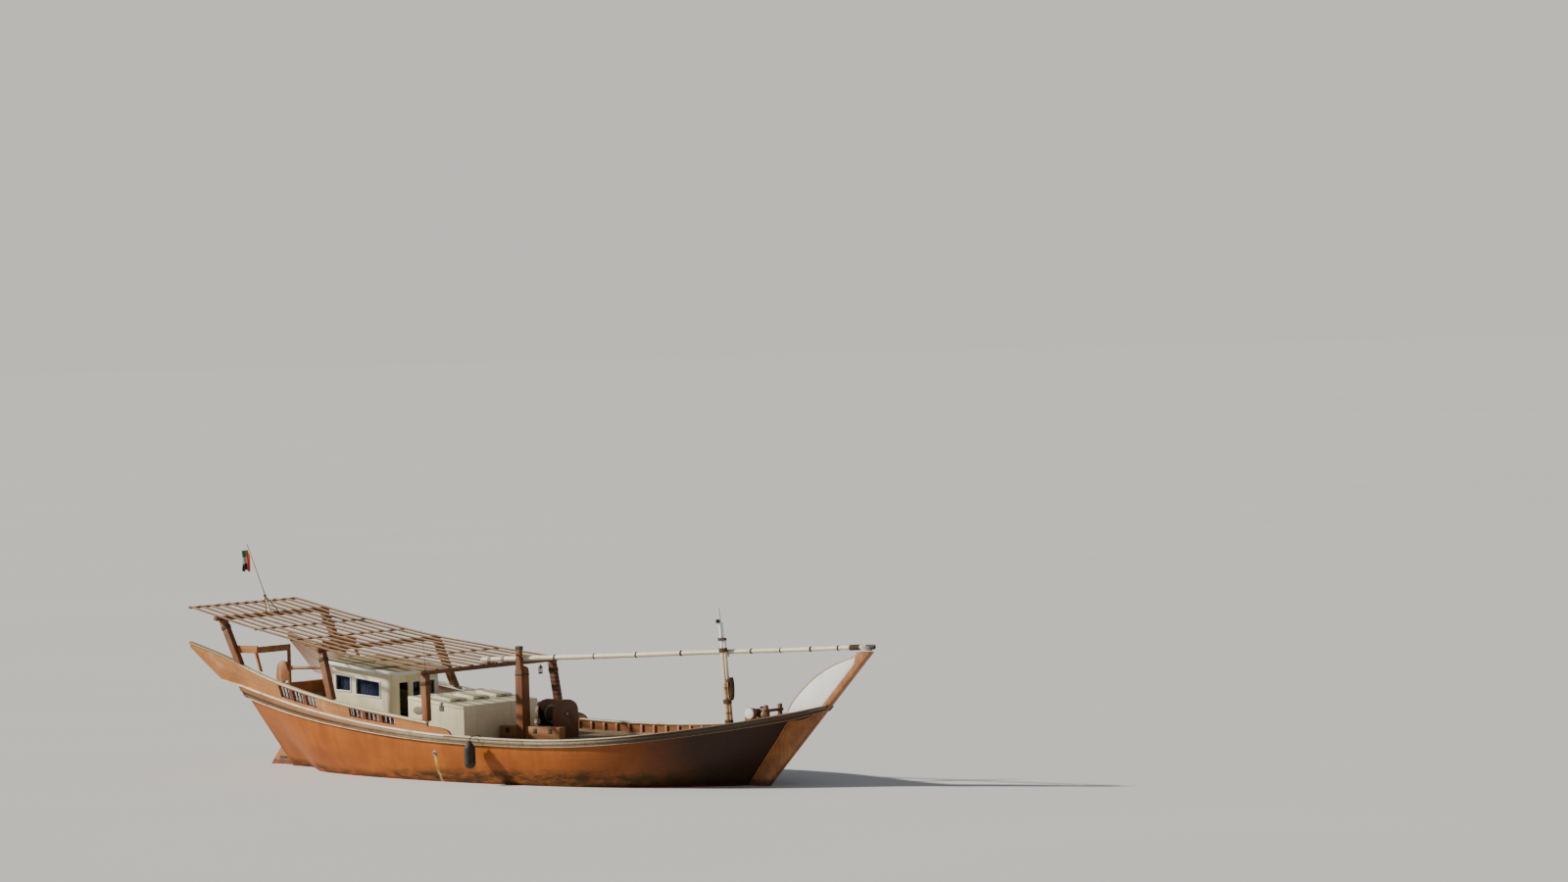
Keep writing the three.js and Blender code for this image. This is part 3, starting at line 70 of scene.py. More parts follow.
# x at the waterline, lean aft for each metre up, half breadth, height of the foot, bilge and floor powers
STATIONS = (
    (-10.6, -0.167, 2.2, -0.48, 1.15, 1.2), (-10.0, -0.12, 2.35, -0.5, 1.25, 1.12),
    (-9.5, -0.08, 2.46, -0.52, 1.35, 1.05), (-8.8, -0.04, 2.62, -1.0, 1.55, 1.0),
    (-8.0, 0, 2.79, -1.45, 1.75, 0.9), (-6.5, 0, 3.02, -1.53, 2.0, 0.78), (-5.0, 0, 3.19, -1.54, 2.2, 0.7),
    (-3.5, 0, 3.32, -1.54, 2.3, 0.66), (-2.0, 0, 3.41, -1.53, 2.4, 0.64), (-0.5, 0, 3.46, -1.51, 2.4, 0.62),
    (1.0, 0, 3.475, -1.48, 2.4, 0.62), (2.5, 0, 3.455, -1.44, 2.35, 0.64), (4.0, 0, 3.37, -1.38, 2.2, 0.68),
    (5.3, 0, 3.18, -1.29, 2.0, 0.74), (6.5, 0, 2.87, -1.17, 1.75, 0.82), (7.5, 0, 2.47, -0.98, 1.5, 0.9),
    (8.3, 0, 2.06, -0.64, 1.35, 0.95), (8.7, 0, 1.832, -0.393, 1.28, 0.97), (9.06, 0, 1.61, 0, 1.2, 1),
    (9.5, 0, 1.33, 0.535, 1.12, 1), (10.0, 0, 1.01, 1.143, 1.05, 1), (10.4, 0, 0.76, 1.628, 1.05, 1),
    (10.759, 0, 0.56, 2.064, 1.05, 1), (11.3, 0, 0.33, 2.145, 1.1, 1), (9.51, 0.985, 0.15, 2.33, 1.2, 1),
)
WALE_DEPTH = ((-11.3, 0.52), (-8, 0.4), (-5, 0.33), (-2, 0.29), (1, 0.245), (12.4, 0.235))
# Part of the wale's depth, and how far it stands out from the planking there
WALE_BAND = ((0.0, 0.085), (0.03, 0.1), (0.15, 0.112), (0.3, 0.114), (0.42, 0.112), (0.45, 0.08),
             (0.62, 0.078), (0.65, 0.098), (0.8, 0.088), (0.87, 0.05))
WALE_BEAD = ((0.885, 0.056), (0.9, 0.08), (0.93, 0.09), (0.96, 0.09), (0.985, 0.08), (1.0, 0.056))
# The groove's place in the skin's own map
GROOVE_AROUND = (4.2 / 12, 6.8 / 12)

# Quarter bulwark
WING_TIP, WING_UNDER, WING_FORE, SCROLL_X = -13.35, -12.0, -1.7, -0.7
WING_RISE = ((-13.35, 0.89), (-11.8, 0.83), (-10.5, 0.69), (-9, 0.56), (-6, 0.44), (-3.3, 0.37), (-1.7, 0.29))
WING_FLARE = ((-13.35, 0.12), (-13.2, 0.12), (-11, 0.35), (-8, 0.18), (-4, 0.09), (-0.7, 0.01))
WALL = 0.075
WINDOW_SPANS = ((-8.93, -7.0), (-5.34, -3.16))
WINDOW_POST = 0.17

# Sun-shade
ROOF_LINE = ((-13.2, 5.55), (-10, 4.865), (-6.7, 4.28), (-4.3, 3.955), (-1.9, 3.67))
ROOF_HALF = ((-13.2, 2.62), (-8, 2.86), (-1.9, 3.32))
SLATS, SLAT_WIDE, SLAT_THICK = 12, 0.14, 0.045
# Each lath's place and half width
LATHS = ((-13.16, 0.06), (-10.0, 0.028), (-8.3, 0.028), (-4.3, 0.028))


def straight(table, x):
    """Value at x on straight lines between the table's points."""
    pair = next((i for i in range(len(table) - 2) if x <= table[i + 1][0]), len(table) - 2)
    (x0, v0), (x1, v1) = table[pair], table[pair + 1]
    return v0 + (v1 - v0) * (x - x0) / (x1 - x0)


def curve(table, x):
    """Value at x on a smooth curve through the table's points."""
    last = len(table) - 1
    i = next((k for k in range(last) if x <= table[k + 1][0]), last - 1)

    def slope(k):
        low, high = max(k - 1, 0), min(k + 1, last)
        return (table[high][1] - table[low][1]) / (table[high][0] - table[low][0])

    (x0, v0), (x1, v1) = table[i], table[i + 1]
    span = x1 - x0
    t = (x - x0) / span
    if t < 0 or t > 1:
        return straight(table, x)
    return (v0 * (2 * t**3 - 3 * t**2 + 1) + v1 * (3 * t**2 - 2 * t**3)
            + span * (slope(i) * (t**3 - 2 * t**2 + t) + slope(i + 1) * (t**3 - t**2)))


def sheer(x):
    """Height of the rail's top along the boat."""
    return 1.53 + (0.0076 if x < 2.2 else 0.0111) * (x - 2.2) ** 2


def top_of(station):
    """Height of a slanted station's top edge, found by stepping towards it."""
    x, lean = station[:2]
    z = sheer(x)
    for _ in range(20):
        z = sheer(x + lean * z) - CAP
    return z


def half_at(station, z):
    """Half breadth of a station at a height."""
    half, foot, bilge, floor = station[2:]
    part = min(max((z - foot) / (top_of(station) - foot), 0), 1)
    return GARBOARD_HALF + (half - GARBOARD_HALF) * (1 - (1 - part) ** bilge) ** floor


def at_station(station, y, z):
    return Vector((station[0] + station[1] * z, y, z))


TOP_HALF = tuple((s[0] + s[1] * top_of(s), s[2]) for s in STATIONS)


def top_half(x):
    return curve(TOP_HALF, x)


def between(rows, steps):
    """Rows of points with smooth rows put in between, steps to each gap."""
    last = len(rows) - 1
    gaps = []
    for row, ahead in zip(rows, rows[1:]):
        gaps.append(max(sum((b - a).length for a, b in zip(row, ahead)) / len(row), 1e-6))
    made = []
    for k in range(last):
        for step in range(steps):
            t = step / steps
            row = []
            for j, (a, b) in enumerate(zip(rows[k], rows[k + 1])):
                before = rows[k - 1][j] if k else a - (b - a)
                after = rows[k + 2][j] if k + 2 <= last else b + (b - a)
                gap, gap0, gap1 = gaps[k], gaps[max(k - 1, 0)], gaps[min(k + 1, last - 1)]
                slope_a = (b - before) * (gap / (gap + gap0))
                slope_b = (after - a) * (gap / (gap + gap1))
                row.append(a * (2 * t**3 - 3 * t**2 + 1) + b * (3 * t**2 - 2 * t**3)
                           + slope_a * (t**3 - 2 * t**2 + t) + slope_b * (t**3 - t**2))
            made.append(row)
    return made + [rows[-1]]


def spread(low, high, steps):
    return [low + (high - low) * i / steps for i in range(steps + 1)]


# Finishes
class Value:
    """A number that varies over a surface. Arithmetic on it adds Math nodes."""

    def __init__(self, paint, socket):
        self.paint, self.socket = paint, socket

    def math(self, operation, *values):
        return self.paint.node("ShaderNodeMath", {"operation": operation}, values)

    def __add__(self, other):
        return self.math("ADD", self, other)

    def __sub__(self, other):
        return self.math("SUBTRACT", self, other)

    def __rsub__(self, other):
        return self.math("SUBTRACT", other, self)

    def __mul__(self, other):
        return self.math("MULTIPLY", self, other)

    def __truediv__(self, other):
        return self.math("DIVIDE", self, other)

    __radd__, __rmul__ = __add__, __mul__

    def fraction(self):
        return self.math("FRACT", self)

    def whole(self):
        return self.math("FLOOR", self)

    def distance_from(self, centre):
        return self.math("ABSOLUTE", self - centre)

    def least(self, other):
        return self.math("MINIMUM", self, other)

    def most(self, other):
        return self.math("MAXIMUM", self, other)

    def band(self, low, high):
        """0 below low, 1 above high and smooth in between; the other way round when low is the higher."""
        turned = low > high
        return self.paint.node("ShaderNodeMapRange", {"interpolation_type": "SMOOTHSTEP"}, {
            "Value": self, "From Min": min(low, high), "From Max": max(low, high),
            "To Min": 1.0 if turned else 0.0, "To Max": 0.0 if turned else 1.0})


class Paint:
    """One procedural finish, with its nodes made from expressions."""

    def __init__(self, name, roughness=0.6):
        self.material = bpy.data.materials.new(name)
        self.material.use_nodes = True
        self.tree = self.material.node_tree
        self.shader = next(n for n in self.tree.nodes if n.type == "BSDF_PRINCIPLED")
        self.shader.inputs["Roughness"].default_value = roughness
        self.object_place = self.node("ShaderNodeTexCoord", output="Object")
        self.surface_place = self.node("ShaderNodeTexCoord", output="UV")

    def node(self, kind, settings=None, values=(), output=0):
        made = self.tree.nodes.new(kind)
        for key, value in (settings or {}).items():
            setattr(made, key, value)
        for key, value in values.items() if isinstance(values, dict) else enumerate(values):
            if isinstance(value, Value):
                self.tree.links.new(value.socket, made.inputs[key])
            else:
                made.inputs[key].default_value = value
        return Value(self, made.outputs[output])

    def xyz(self, place=None):
        """The three numbers of a place."""
        place = place or self.object_place
        return [self.node("ShaderNodeSeparateXYZ", None, [place], output=k) for k in range(3)]

    def spots(self, scale, shift=(0, 0, 0), detail=3, rough=0.55, stretch=(1, 1, 1)):
        """Noise from 0 to 1. Stretch below 1 along an axis draws it out that way."""
        moved = self.node("ShaderNodeMapping", None, {
            "Vector": self.object_place, "Scale": stretch, "Location": shift})
        return self.node("ShaderNodeTexNoise", {"noise_dimensions": "3D"}, {
            "Vector": moved, "Scale": scale, "Detail": detail, "Roughness": rough})

    def chance(self, number):
        """A random number from 0 to 1 for each whole number."""
        return self.node("ShaderNodeTexWhiteNoise", {"noise_dimensions": "1D"}, {"W": number})

    def marked(self, name):
        """What the faces were marked with when the piece was made, such as worn_edge."""
        return self.node("ShaderNodeAttribute", {"attribute_name": name}, output="Fac")

    def mix(self, mask, under, over):
        """One colour laid over another where the mask is 1."""
        made = self.tree.nodes.new("ShaderNodeMix")
        made.data_type = "RGBA"
        for socket, value in ((made.inputs[0], mask), (made.inputs[6], under), (made.inputs[7], over)):
            if isinstance(value, Value):
                self.tree.links.new(value.socket, socket)
            else:
                socket.default_value = (*value, 1)
        return Value(self, made.outputs[2])

    def base(self, mask, dark, light):
        """The first colour, from dark to light."""
        self.colour = self.mix(mask, dark, light)

    def over(self, mask, colour):
        """The next colour, laid over what is there."""
        self.colour = self.mix(mask, self.colour, colour)

    def blotch(self, amount, colour, low, high, *noise, **more):
        """A colour laid on where the noise is high. Gives the mask back."""
        mask = self.spots(*noise, **more).band(low, high)
        self.over(mask * amount, colour)
        return mask

    def put(self, roughness=None, height=None, relief=0.004, alpha=None, metallic=None):
        """Joins what varies to the shader. Height is in units of relief, in metres."""
        for socket, value in (("Base Color", self.colour), ("Roughness", roughness), ("Alpha", alpha),
                              ("Metallic", metallic)):
            if value is not None:
                self.tree.links.new(value.socket, self.shader.inputs[socket])
        if height is not None:
            bump = self.node("ShaderNodeBump", None, {"Height": height, "Distance": relief, "Strength": 1.0})
            self.tree.links.new(bump.socket, self.shader.inputs["Normal"])
        return self.material


def shaded(colour, part):
    return tuple(part * c for c in colour)


def drawn_out(axis, amount):
    """Stretch that draws noise out along one axis."""
    return tuple(amount if k == axis else 1.0 for k in "xyz")


def planks(paint, across, along, width, length):
    """Each plank's own shade from 0 to 1, and a mask of the seams and butts."""
    row = (across / width).whole()
    seam = (across / width).fraction().distance_from(0.5).band(0.5 - 0.006 / width, 0.5 - 0.001 / width)
    run = along / length + paint.chance(row) * 7.3
    butt = run.fraction().distance_from(0.5).band(0.5 - 0.006 / length, 0.5 - 0.001 / length)
    return paint.chance(row * 3.1 + run.whole() * 17.7), seam.most(butt)


def timber_finish(name, light, dark, axis="x", worn_to=(0.6, 0.48, 0.34), wear=0.5, stained=0.3, board=None,
                  lit_top_colour=None, bands=()):
    """Oiled or bare wood: grain along an axis, blotches, dirt and worn edges, with boards of a given width,
    a painted highlight on upward faces and painted bands where they are asked for."""
    paint = Paint(name)
    lines = paint.spots(55, detail=4, rough=0.6, stretch=drawn_out(axis, 0.035))
    streaks = paint.spots(9, (3, 1, 7), stretch=drawn_out(axis, 0.08))
    tone = lines * 0.35 + streaks * 0.4 + paint.spots(1.3, (5, 2, 1), 4, 0.6) * 0.45 - 0.1
    paint.base(tone.band(0.25, 0.75), dark, light)
    height = lines * 0.5 + streaks * 0.4
    if board:
        places = dict(zip("xyz", paint.xyz()))
        shade, seam = planks(paint, places["y"] + 40.0, places[axis] + 60.0, board, 2.9)
        paint.over(shade * 0.5, shaded(dark, 0.55))
        paint.over(seam * 0.85, (0.02, 0.014, 0.01))
        height = height - seam * 2.2 + shade * 0.3
    # Upward faces lighter in patches: painted highlight where light falls on the tops
    if lit_top_colour:
        patch = paint.spots(3.0, (12, 3, 3), 4).band(0.2, 0.5)
        paint.over(paint.marked("upward").band(0.5, 0.95) * patch * 0.8, lit_top_colour)
    for low, high, coat in bands:
        z = paint.xyz()[2]
        paint.over(z.band(low - 0.01, low + 0.01) * z.band(high + 0.01, high - 0.01) * 0.9, coat)
    paint.blotch(stained, (0.08, 0.05, 0.03), 0.56, 0.74, 2.6, (11, 4, 2), 5, 0.65)
    rubbed = paint.marked("worn_edge") * paint.spots(7, (1, 9, 4), 4).band(0.38, 0.6)
    bare = paint.spots(6, (8, 8, 2), 5, 0.7, drawn_out(axis, 0.25)).band(0.66, 0.78)
    paint.over((rubbed * 0.9 + bare * 0.6 * wear).least(1.0) * wear, worn_to)
    return paint.put(lines * 0.2 + 0.57, height, 0.002)


def painted_wood(name, coat, under, axis="x", worn=0.5, grime=0.35, roughness=0.5):
    """Painted wood whose coat has chipped through on edges and thinned in patches."""
    paint = Paint(name)
    lines = paint.spots(50, stretch=drawn_out(axis, 0.04))
    cloud = paint.spots(1.1, (2, 6, 3), 4)
    paint.base(cloud.band(0.3, 0.75) * 0.55, coat, shaded(coat, 0.74))
    dirt = paint.blotch(grime, (0.16, 0.11, 0.06), 0.5, 0.75, 3.2, (7, 1, 5), 5, 0.68)
    chips = paint.spots(11, (4, 4, 9), 5, 0.7, drawn_out(axis, 0.4))
    edge, flat = paint.marked("worn_edge") * chips.band(0.42, 0.56), chips.band(0.7, 0.76)
    gone = (edge + flat * 0.8).least(1.0) * worn
    paint.over(gone, under)
    return paint.put(gone * 0.25 + dirt * 0.15 + roughness, lines * 0.5 - gone * 0.8, 0.0018)


def hull_finish():
    """Varnish-orange planking: soft upright streaks, seams, weed near the water, a red boot-top aft, and
    painted shade on the inside faces and towards the bow.
    """
    paint = Paint("hull_varnish")
    paint.shader.inputs["Specular IOR Level"].default_value = 0.25
    x, y, z = paint.xyz()
    u = paint.xyz(paint.surface_place)[0]
    across = u * STRAKES
    row = across.whole()
    seam = across.fraction().distance_from(0.5).band(0.475, 0.496)
    run = x / 4.2 + paint.chance(row) * 5.7
    butt = run.fraction().distance_from(0.5).band(0.4985, 0.4997)
    shade = paint.chance(row * 2.3 + run.whole() * 11.9)
    streak = paint.spots(2.2, detail=5, rough=0.6, stretch=(1, 1, 0.16))
    cloud = paint.spots(0.55, (3, 3, 3), 4, stretch=(1, 1, 1.3))
    fine = paint.spots(26, stretch=drawn_out("x", 0.05))
    paint.base((streak * 0.6 + cloud * 0.6).band(0.35, 0.85), (0.27, 0.067, 0.008), (0.47, 0.138, 0.016))
    paint.over(shade * 0.2, (0.25, 0.068, 0.01))
    paint.blotch(0.14, (0.6, 0.3, 0.1), 0.6, 0.78, 0.9, (9, 2, 6), 5, 0.62, (1, 1, 0.7))
    # Inside faces darker: painted shade
    paint.over(paint.marked("inner_face") * 0.75, (0.2, 0.085, 0.035))
    # The planking darkens towards the bow: painted shade, where the bow's planking turns away from the light
    paint.over((x + cloud * 3.0).band(3.2, 9.4) * 0.66, (0.12, 0.027, 0.005))
    paint.over((x + cloud * 2.0).band(6.6, 9.6) * 0.93, (0.022, 0.011, 0.008))
    paint.over((seam * 0.22).most(butt * 0.2), (0.1, 0.03, 0.008))
    # Salt and weed climb highest between midships and the bow
    forward = x.band(-6.5, 1.5)
    ragged = paint.spots(0.9, (1, 8, 3), 7, 0.7, (0.7, 1, 1.6))
    wash = paint.spots(3.4, (4, 1, 1), 6, 0.68, (0.4, 1, 1.2))
    weed = (forward * 0.3 + ragged * 0.75 - 0.16 - z).band(-0.16, 0.22) * wash.band(0.28, 0.62)
    paint.over((z + ragged * 0.12).band(0.16, 0.12) * (1.0 - forward * 0.6) * 0.85, (0.36, 0.035, 0.012))
    paint.over(weed * 0.92, (0.036, 0.025, 0.008))
    paint.over(z.band(0.03, -0.06) * 0.9, (0.17, 0.03, 0.015))
    # Rust from the bilge outlet
    outlet = x.distance_from(OUTLET_X).band(0.11, 0.02) * z.band(1.0, 0.9) * y.band(0.0, -1.0)
    paint.over(outlet * paint.spots(9, detail=4, stretch=(1, 1, 0.1)).band(0.3, 0.6) * 0.6, (0.75, 0.5, 0.2))
    return paint.put(streak * 0.18 + weed * 0.3 + 0.4,
                     fine * 0.5 + shade * 0.6 - seam * 1.4 - butt * 1.2 + weed * 0.5, 0.0022)


def wale_finish():
    """Weathered oil on the wales: brown aft, sun-bleached olive midships, painted shade at the bow and
    painted shade in the groove.
    """
    paint = Paint("wale_oil")
    x = paint.xyz()[0]
    lines = paint.spots(38, detail=4, stretch=drawn_out("x", 0.03))
    patch = paint.spots(1.5, (6, 6, 1), 5, 0.65, (0.6, 1, 1))
    joints = (x / 0.62).fraction().distance_from(0.5).band(0.488, 0.498)
    forward = (x + patch * 6.0).band(-3.5, 1.5)
    paint.base((lines * 0.5 + patch * 0.6).band(0.3, 0.8), (0.2, 0.075, 0.02), (0.38, 0.16, 0.045))
    # The groove darkened almost to black: painted shade in the recess
    paint.over(paint.marked("in_groove") * 0.9, (0.03, 0.02, 0.012))
    sun = (lines * 0.6 + patch * 0.5).band(0.35, 0.75)
    bleached = paint.mix(sun, (0.16, 0.115, 0.055), (0.36, 0.29, 0.17))
    paint.over(forward, bleached)
    # Darker towards the bow: painted shade
    paint.over((x + patch * 3.0).band(5.4, 8.6) * 0.92, (0.05, 0.024, 0.012))
    paint.blotch(0.5, (0.06, 0.045, 0.025), 0.5, 0.7, 5.0, (2, 5, 5), 6, 0.7)
    paint.over(joints * forward * 0.5, (0.06, 0.04, 0.02))
    return paint.put(lines * 0.25 + 0.5, lines - joints * 1.5 + patch, 0.0025)


def trim_finish(name, coat=(0.78, 0.69, 0.53), bare=(0.32, 0.2, 0.1), gone=0.6, aft=None):
    """Cream paint on rails and mouldings, scuffed down to the wood in places and brown towards the bow."""
    paint = Paint(name)
    x = paint.xyz()[0]
    fine = paint.spots(24, detail=4, stretch=drawn_out("x", 0.08))
    chips = paint.spots(5.2, (3, 7, 2), 6, 0.72, (0.5, 1, 1))
    joints = (x / 1.9).fraction().distance_from(0.5).band(0.4955, 0.4985)
    paint.base(fine.band(0.3, 0.8) * 0.4, coat, shaded(coat, 0.72))
    worn = (chips.band(0.55, 0.64) + paint.marked("worn_edge") * chips.band(0.45, 0.56)).least(1.0) * gone
    paint.over(worn, bare)
    paint.blotch(0.35, (0.3, 0.22, 0.12), 0.48, 0.75, 2.2, (8, 3, 9), 5)
    paint.over((x + chips * 3.0).band(6.4, 9.2) * 0.8, (0.22, 0.125, 0.055))
    if aft:
        paint.over((x + chips * 1.4).band(-9.4, -10.4) * 0.85, aft)
    paint.over(joints * 0.7, (0.12, 0.08, 0.04))
    return paint.put(worn * 0.25 + 0.42, fine * 0.5 - worn * 0.9 - joints, 0.002)


def shell_finish(name, coat, shade, yellowing=0.4, gloss=0.38):
    """Gel-coat on the wheelhouse and the ice box, yellowed and streaked with dirt."""
    paint = Paint(name)
    cloud = paint.spots(0.9, (2, 4, 4), 4)
    paint.base(cloud.band(0.35, 0.75) * 0.6, coat, shade)
    runs = paint.blotch(0.34, (0.42, 0.31, 0.14), 0.52, 0.78, 5.5, (5, 5, 0), 5, 0.6, (1, 1, 0.07))
    paint.blotch(yellowing, (0.64, 0.5, 0.2), 0.5, 0.75, 1.6, (9, 1, 3), 4, stretch=(1, 1, 0.6))
    scuff = paint.blotch(0.4, (0.22, 0.17, 0.11), 0.64, 0.72, 14, (3, 1, 8), 6, 0.75, (1, 1, 1.6))
    paint.over(paint.marked("worn_edge") * paint.spots(8, detail=4).band(0.4, 0.6) * 0.35, (0.35, 0.27, 0.17))
    return paint.put(runs * 0.2 + scuff * 0.2 + gloss, paint.spots(60, detail=2) * 0.3 + cloud * 0.6, 0.0015)


def deck_finish():
    """Bare deck planks laid fore and aft, with dark caulking and wet stains."""
    paint = Paint("deck_boards")
    x, y, _ = paint.xyz()
    shade, seam = planks(paint, y + 20.0, x + 30.0, DECK_PLANK, 3.4)
    lines = paint.spots(46, detail=4, stretch=drawn_out("x", 0.04))
    patch = paint.spots(0.9, (1, 1, 5), 5, 0.65)
    paint.base((lines * 0.45 + patch * 0.6).band(0.3, 0.8), (0.17, 0.105, 0.055), (0.4, 0.28, 0.165))
    paint.over(shade * 0.45, (0.15, 0.095, 0.05))
    wet = paint.blotch(0.5, (0.07, 0.05, 0.03), 0.55, 0.72, 1.4, (6, 3, 2), 6, 0.66)
    nails = (x / 0.5).fraction().distance_from(0.5).band(0.017, 0.011)
    nails = nails * (y * 2 / DECK_PLANK + 0.5).fraction().distance_from(0.5).band(0.11, 0.07)
    paint.over(nails * 0.6, (0.05, 0.03, 0.02))
    paint.over(seam * 0.9, (0.02, 0.015, 0.012))
    return paint.put(0.8 - wet * 0.3, lines * 0.5 + shade * 0.8 - seam * 2.5 - nails, 0.0025)


def metal_finish(name, base, rust, rusted=0.5, roughness=0.45, metallic=0.85):
    """Iron or bronze fittings with rust or tarnish in patches."""
    paint = Paint(name)
    covered = paint.spots(9, detail=6, rough=0.7).band(0.42, 0.62) * rusted
    fine = paint.spots(90)
    paint.base(covered, base, rust)
    paint.over(fine.band(0.4, 0.8) * 0.3, shaded(rust, 0.5))
    return paint.put(covered * 0.35 + roughness, fine * 0.4 + covered * 0.8, 0.0012,
                     metallic=(1.0 - covered) * metallic)


def rubber_finish():
    """Perished black rubber with brown dust."""
    paint = Paint("fender_rubber")
    coarse = paint.spots(11, detail=5, rough=0.65, stretch=(1, 1, 0.6))
    paint.base(coarse.band(0.4, 0.7) * 0.8, (0.014, 0.012, 0.01), (0.075, 0.052, 0.033))
    return paint.put(coarse * 0.2 + 0.6, coarse * 2.0 + paint.spots(60) * 0.4, 0.006)


def glass_finish():
    """Dark window glass with salt on it."""
    paint = Paint("window_pane")
    salt = paint.spots(3.5, detail=5, rough=0.65).band(0.45, 0.75) * 0.25
    paint.base(salt, (0.012, 0.018, 0.035), (0.2, 0.22, 0.25))
    return paint.put(salt + 0.05, alpha=salt + 0.35)


def backbone_finish():
    """Keel, stem and rudder: oiled wood above the water, red bottom paint below it."""
    paint = Paint("backbone_oil")
    z = paint.xyz()[2]
    lines = paint.spots(42, detail=4, stretch=(0.3, 1, 0.06))
    patch = paint.spots(1.6, (4, 2, 6), 5, 0.62)
    paint.base((lines * 0.4 + patch * 0.6).band(0.3, 0.75), (0.2, 0.07, 0.022), (0.46, 0.185, 0.052))
    paint.blotch(0.2, (0.5, 0.3, 0.13), 0.55, 0.72, 4, (2, 9, 9), 5, stretch=(1, 1, 0.4))
    paint.over(paint.marked("worn_edge") * paint.spots(9, detail=4).band(0.35, 0.6) * 0.7, (0.05, 0.03, 0.02))
    line = z + paint.spots(3, detail=4) * 0.14
    paint.over(line.band(0.24, 0.18), (0.3, 0.04, 0.018))
    growth = paint.spots(8, (5, 5, 5), 5).band(0.35, 0.55)
    weed = (line.band(0.34, 0.2) * growth).most(z.band(0.02, -0.1))
    paint.over(weed * 0.75, (0.05, 0.036, 0.018))
    return paint.put(weed * 0.3 + 0.45, lines + patch * 0.5, 0.002)


def varnished_boards(name, light, dark, width, by_height=True, dark_fields=()):
    """Varnished boards, numbered by height with bottom paint below, or by the skin's own map with darker
    posts between the windows, and with painted shade on their inside faces."""
    paint = Paint(name)
    x, y, z = paint.xyz()
    v = paint.xyz(paint.surface_place)[1]
    across = z + 30.0 if by_height else v * width * 5.0 + 1.0
    shade, seam = planks(paint, across, y + 30.0 if by_height else x + 60.0, width, 3.7)
    lines = paint.spots(34, detail=4, stretch=(1, 0.06, 1) if by_height else (0.06, 1, 1))
    patch = paint.spots(1.2, (7, 2, 4), 5, 0.62)
    paint.base((lines * 0.35 + patch * 0.65).band(0.3, 0.78), dark, light)
    paint.over(shade * 0.3, shaded(dark, 0.6))
    paint.blotch(0.4, (0.62, 0.42, 0.24), 0.55, 0.75, 2.1, (3, 8, 8), 5, stretch=(1, 1, 0.5))
    # Inside faces darker: painted shade
    paint.over(paint.marked("inner_face") * 0.85, (0.11, 0.042, 0.018))
    paint.blotch(0.35, (0.1, 0.05, 0.025), 0.56, 0.76, 7, (1, 1, 3), 4, stretch=(1, 1, 0.08))
    for aft, fore in dark_fields:
        field = x.band(aft - 0.01, aft) * x.band(fore + 0.01, fore) * v.band(0.24, 0.25) * v.band(0.76, 0.75)
        paint.over(field * 0.9, (0.12, 0.032, 0.013))
    paint.over(seam * 0.55, (0.06, 0.026, 0.012))
    if by_height:
        paint.over((z + patch * 0.12).band(0.22, 0.18) * 0.9, (0.32, 0.035, 0.014))
        paint.over(z.band(0.03, -0.06) * 0.85, (0.14, 0.026, 0.014))
    return paint.put(patch * 0.25 + 0.32, lines * 0.5 + shade * 0.6 - seam * 1.6, 0.0022)


def rope_look(name, light, dark):
    """Laid rope: slanting strands and fluff."""
    paint = Paint(name, 0.85)
    x, y, z = paint.xyz()
    u = paint.xyz(paint.surface_place)[0]
    along = (x + y * 1.3 + z * 0.9) * 160.0 + u * math.tau
    lay = along.math("SINE", along)
    fluff = paint.spots(140)
    paint.base((lay * 0.25 + fluff * 0.4 + paint.spots(4.5, detail=4) * 0.4).band(0.2, 0.8), dark, light)
    return paint.put(height=lay * 0.5 + fluff * 0.5, relief=0.003)


def flag_look():
    """Red at the staff and three bands across the fly."""
    paint = Paint("flag_bunting", 0.8)
    u, v, _ = paint.xyz(paint.surface_place)
    bands = paint.mix(v.band(0.33, 0.335), (0.01, 0.12, 0.04), (0.4, 0.38, 0.34))
    bands = paint.mix(v.band(0.665, 0.67), bands, (0.012, 0.012, 0.014))
    paint.base(u.band(0.345, 0.34), bands, (0.42, 0.03, 0.02))
    paint.blotch(0.3, (0.2, 0.15, 0.1), 0.45, 0.75, 9, detail=4)
    return paint.put(height=paint.spots(300, detail=2), relief=0.0006)


def mast_finish(rings):
    """Painted pole: white at the top, cream below it and bare with painted rings lower down."""
    paint = Paint("mast_paint")
    z = paint.xyz()[2]
    lines = paint.spots(44, detail=4, stretch=(1, 1, 0.05))
    patch = paint.spots(3, (1, 5, 5), 5, 0.65)
    paint.base((lines * 0.4 + patch * 0.5).band(0.25, 0.75), (0.62, 0.5, 0.3), (0.8, 0.75, 0.62))
    paint.over(z.band(4.35, 4.4), (0.84, 0.84, 0.8))
    paint.over(z.band(3.3, 3.24), paint.mix(patch.band(0.3, 0.7), (0.34, 0.2, 0.09), (0.6, 0.42, 0.22)))
    for centre, half in rings:
        paint.over(z.distance_from(centre).band(half, half - 0.01) * 0.85, (0.28, 0.1, 0.04))
    chips = paint.blotch(0.6, (0.3, 0.19, 0.1), 0.62, 0.7, 14, (8, 1, 4), 5, 0.7, (1, 1, 0.4))
    return paint.put(chips * 0.3 + 0.42, lines * 0.6 - chips, 0.0015)


def curtain_finish():
    paint = Paint("curtain_blue", 0.9)
    paint.base(paint.spots(3.0, stretch=(1, 1, 0.3)).band(0.3, 0.7), (0.015, 0.045, 0.26), (0.05, 0.14, 0.55))
    return paint.put(height=paint.spots(400, detail=2), relief=0.0005)


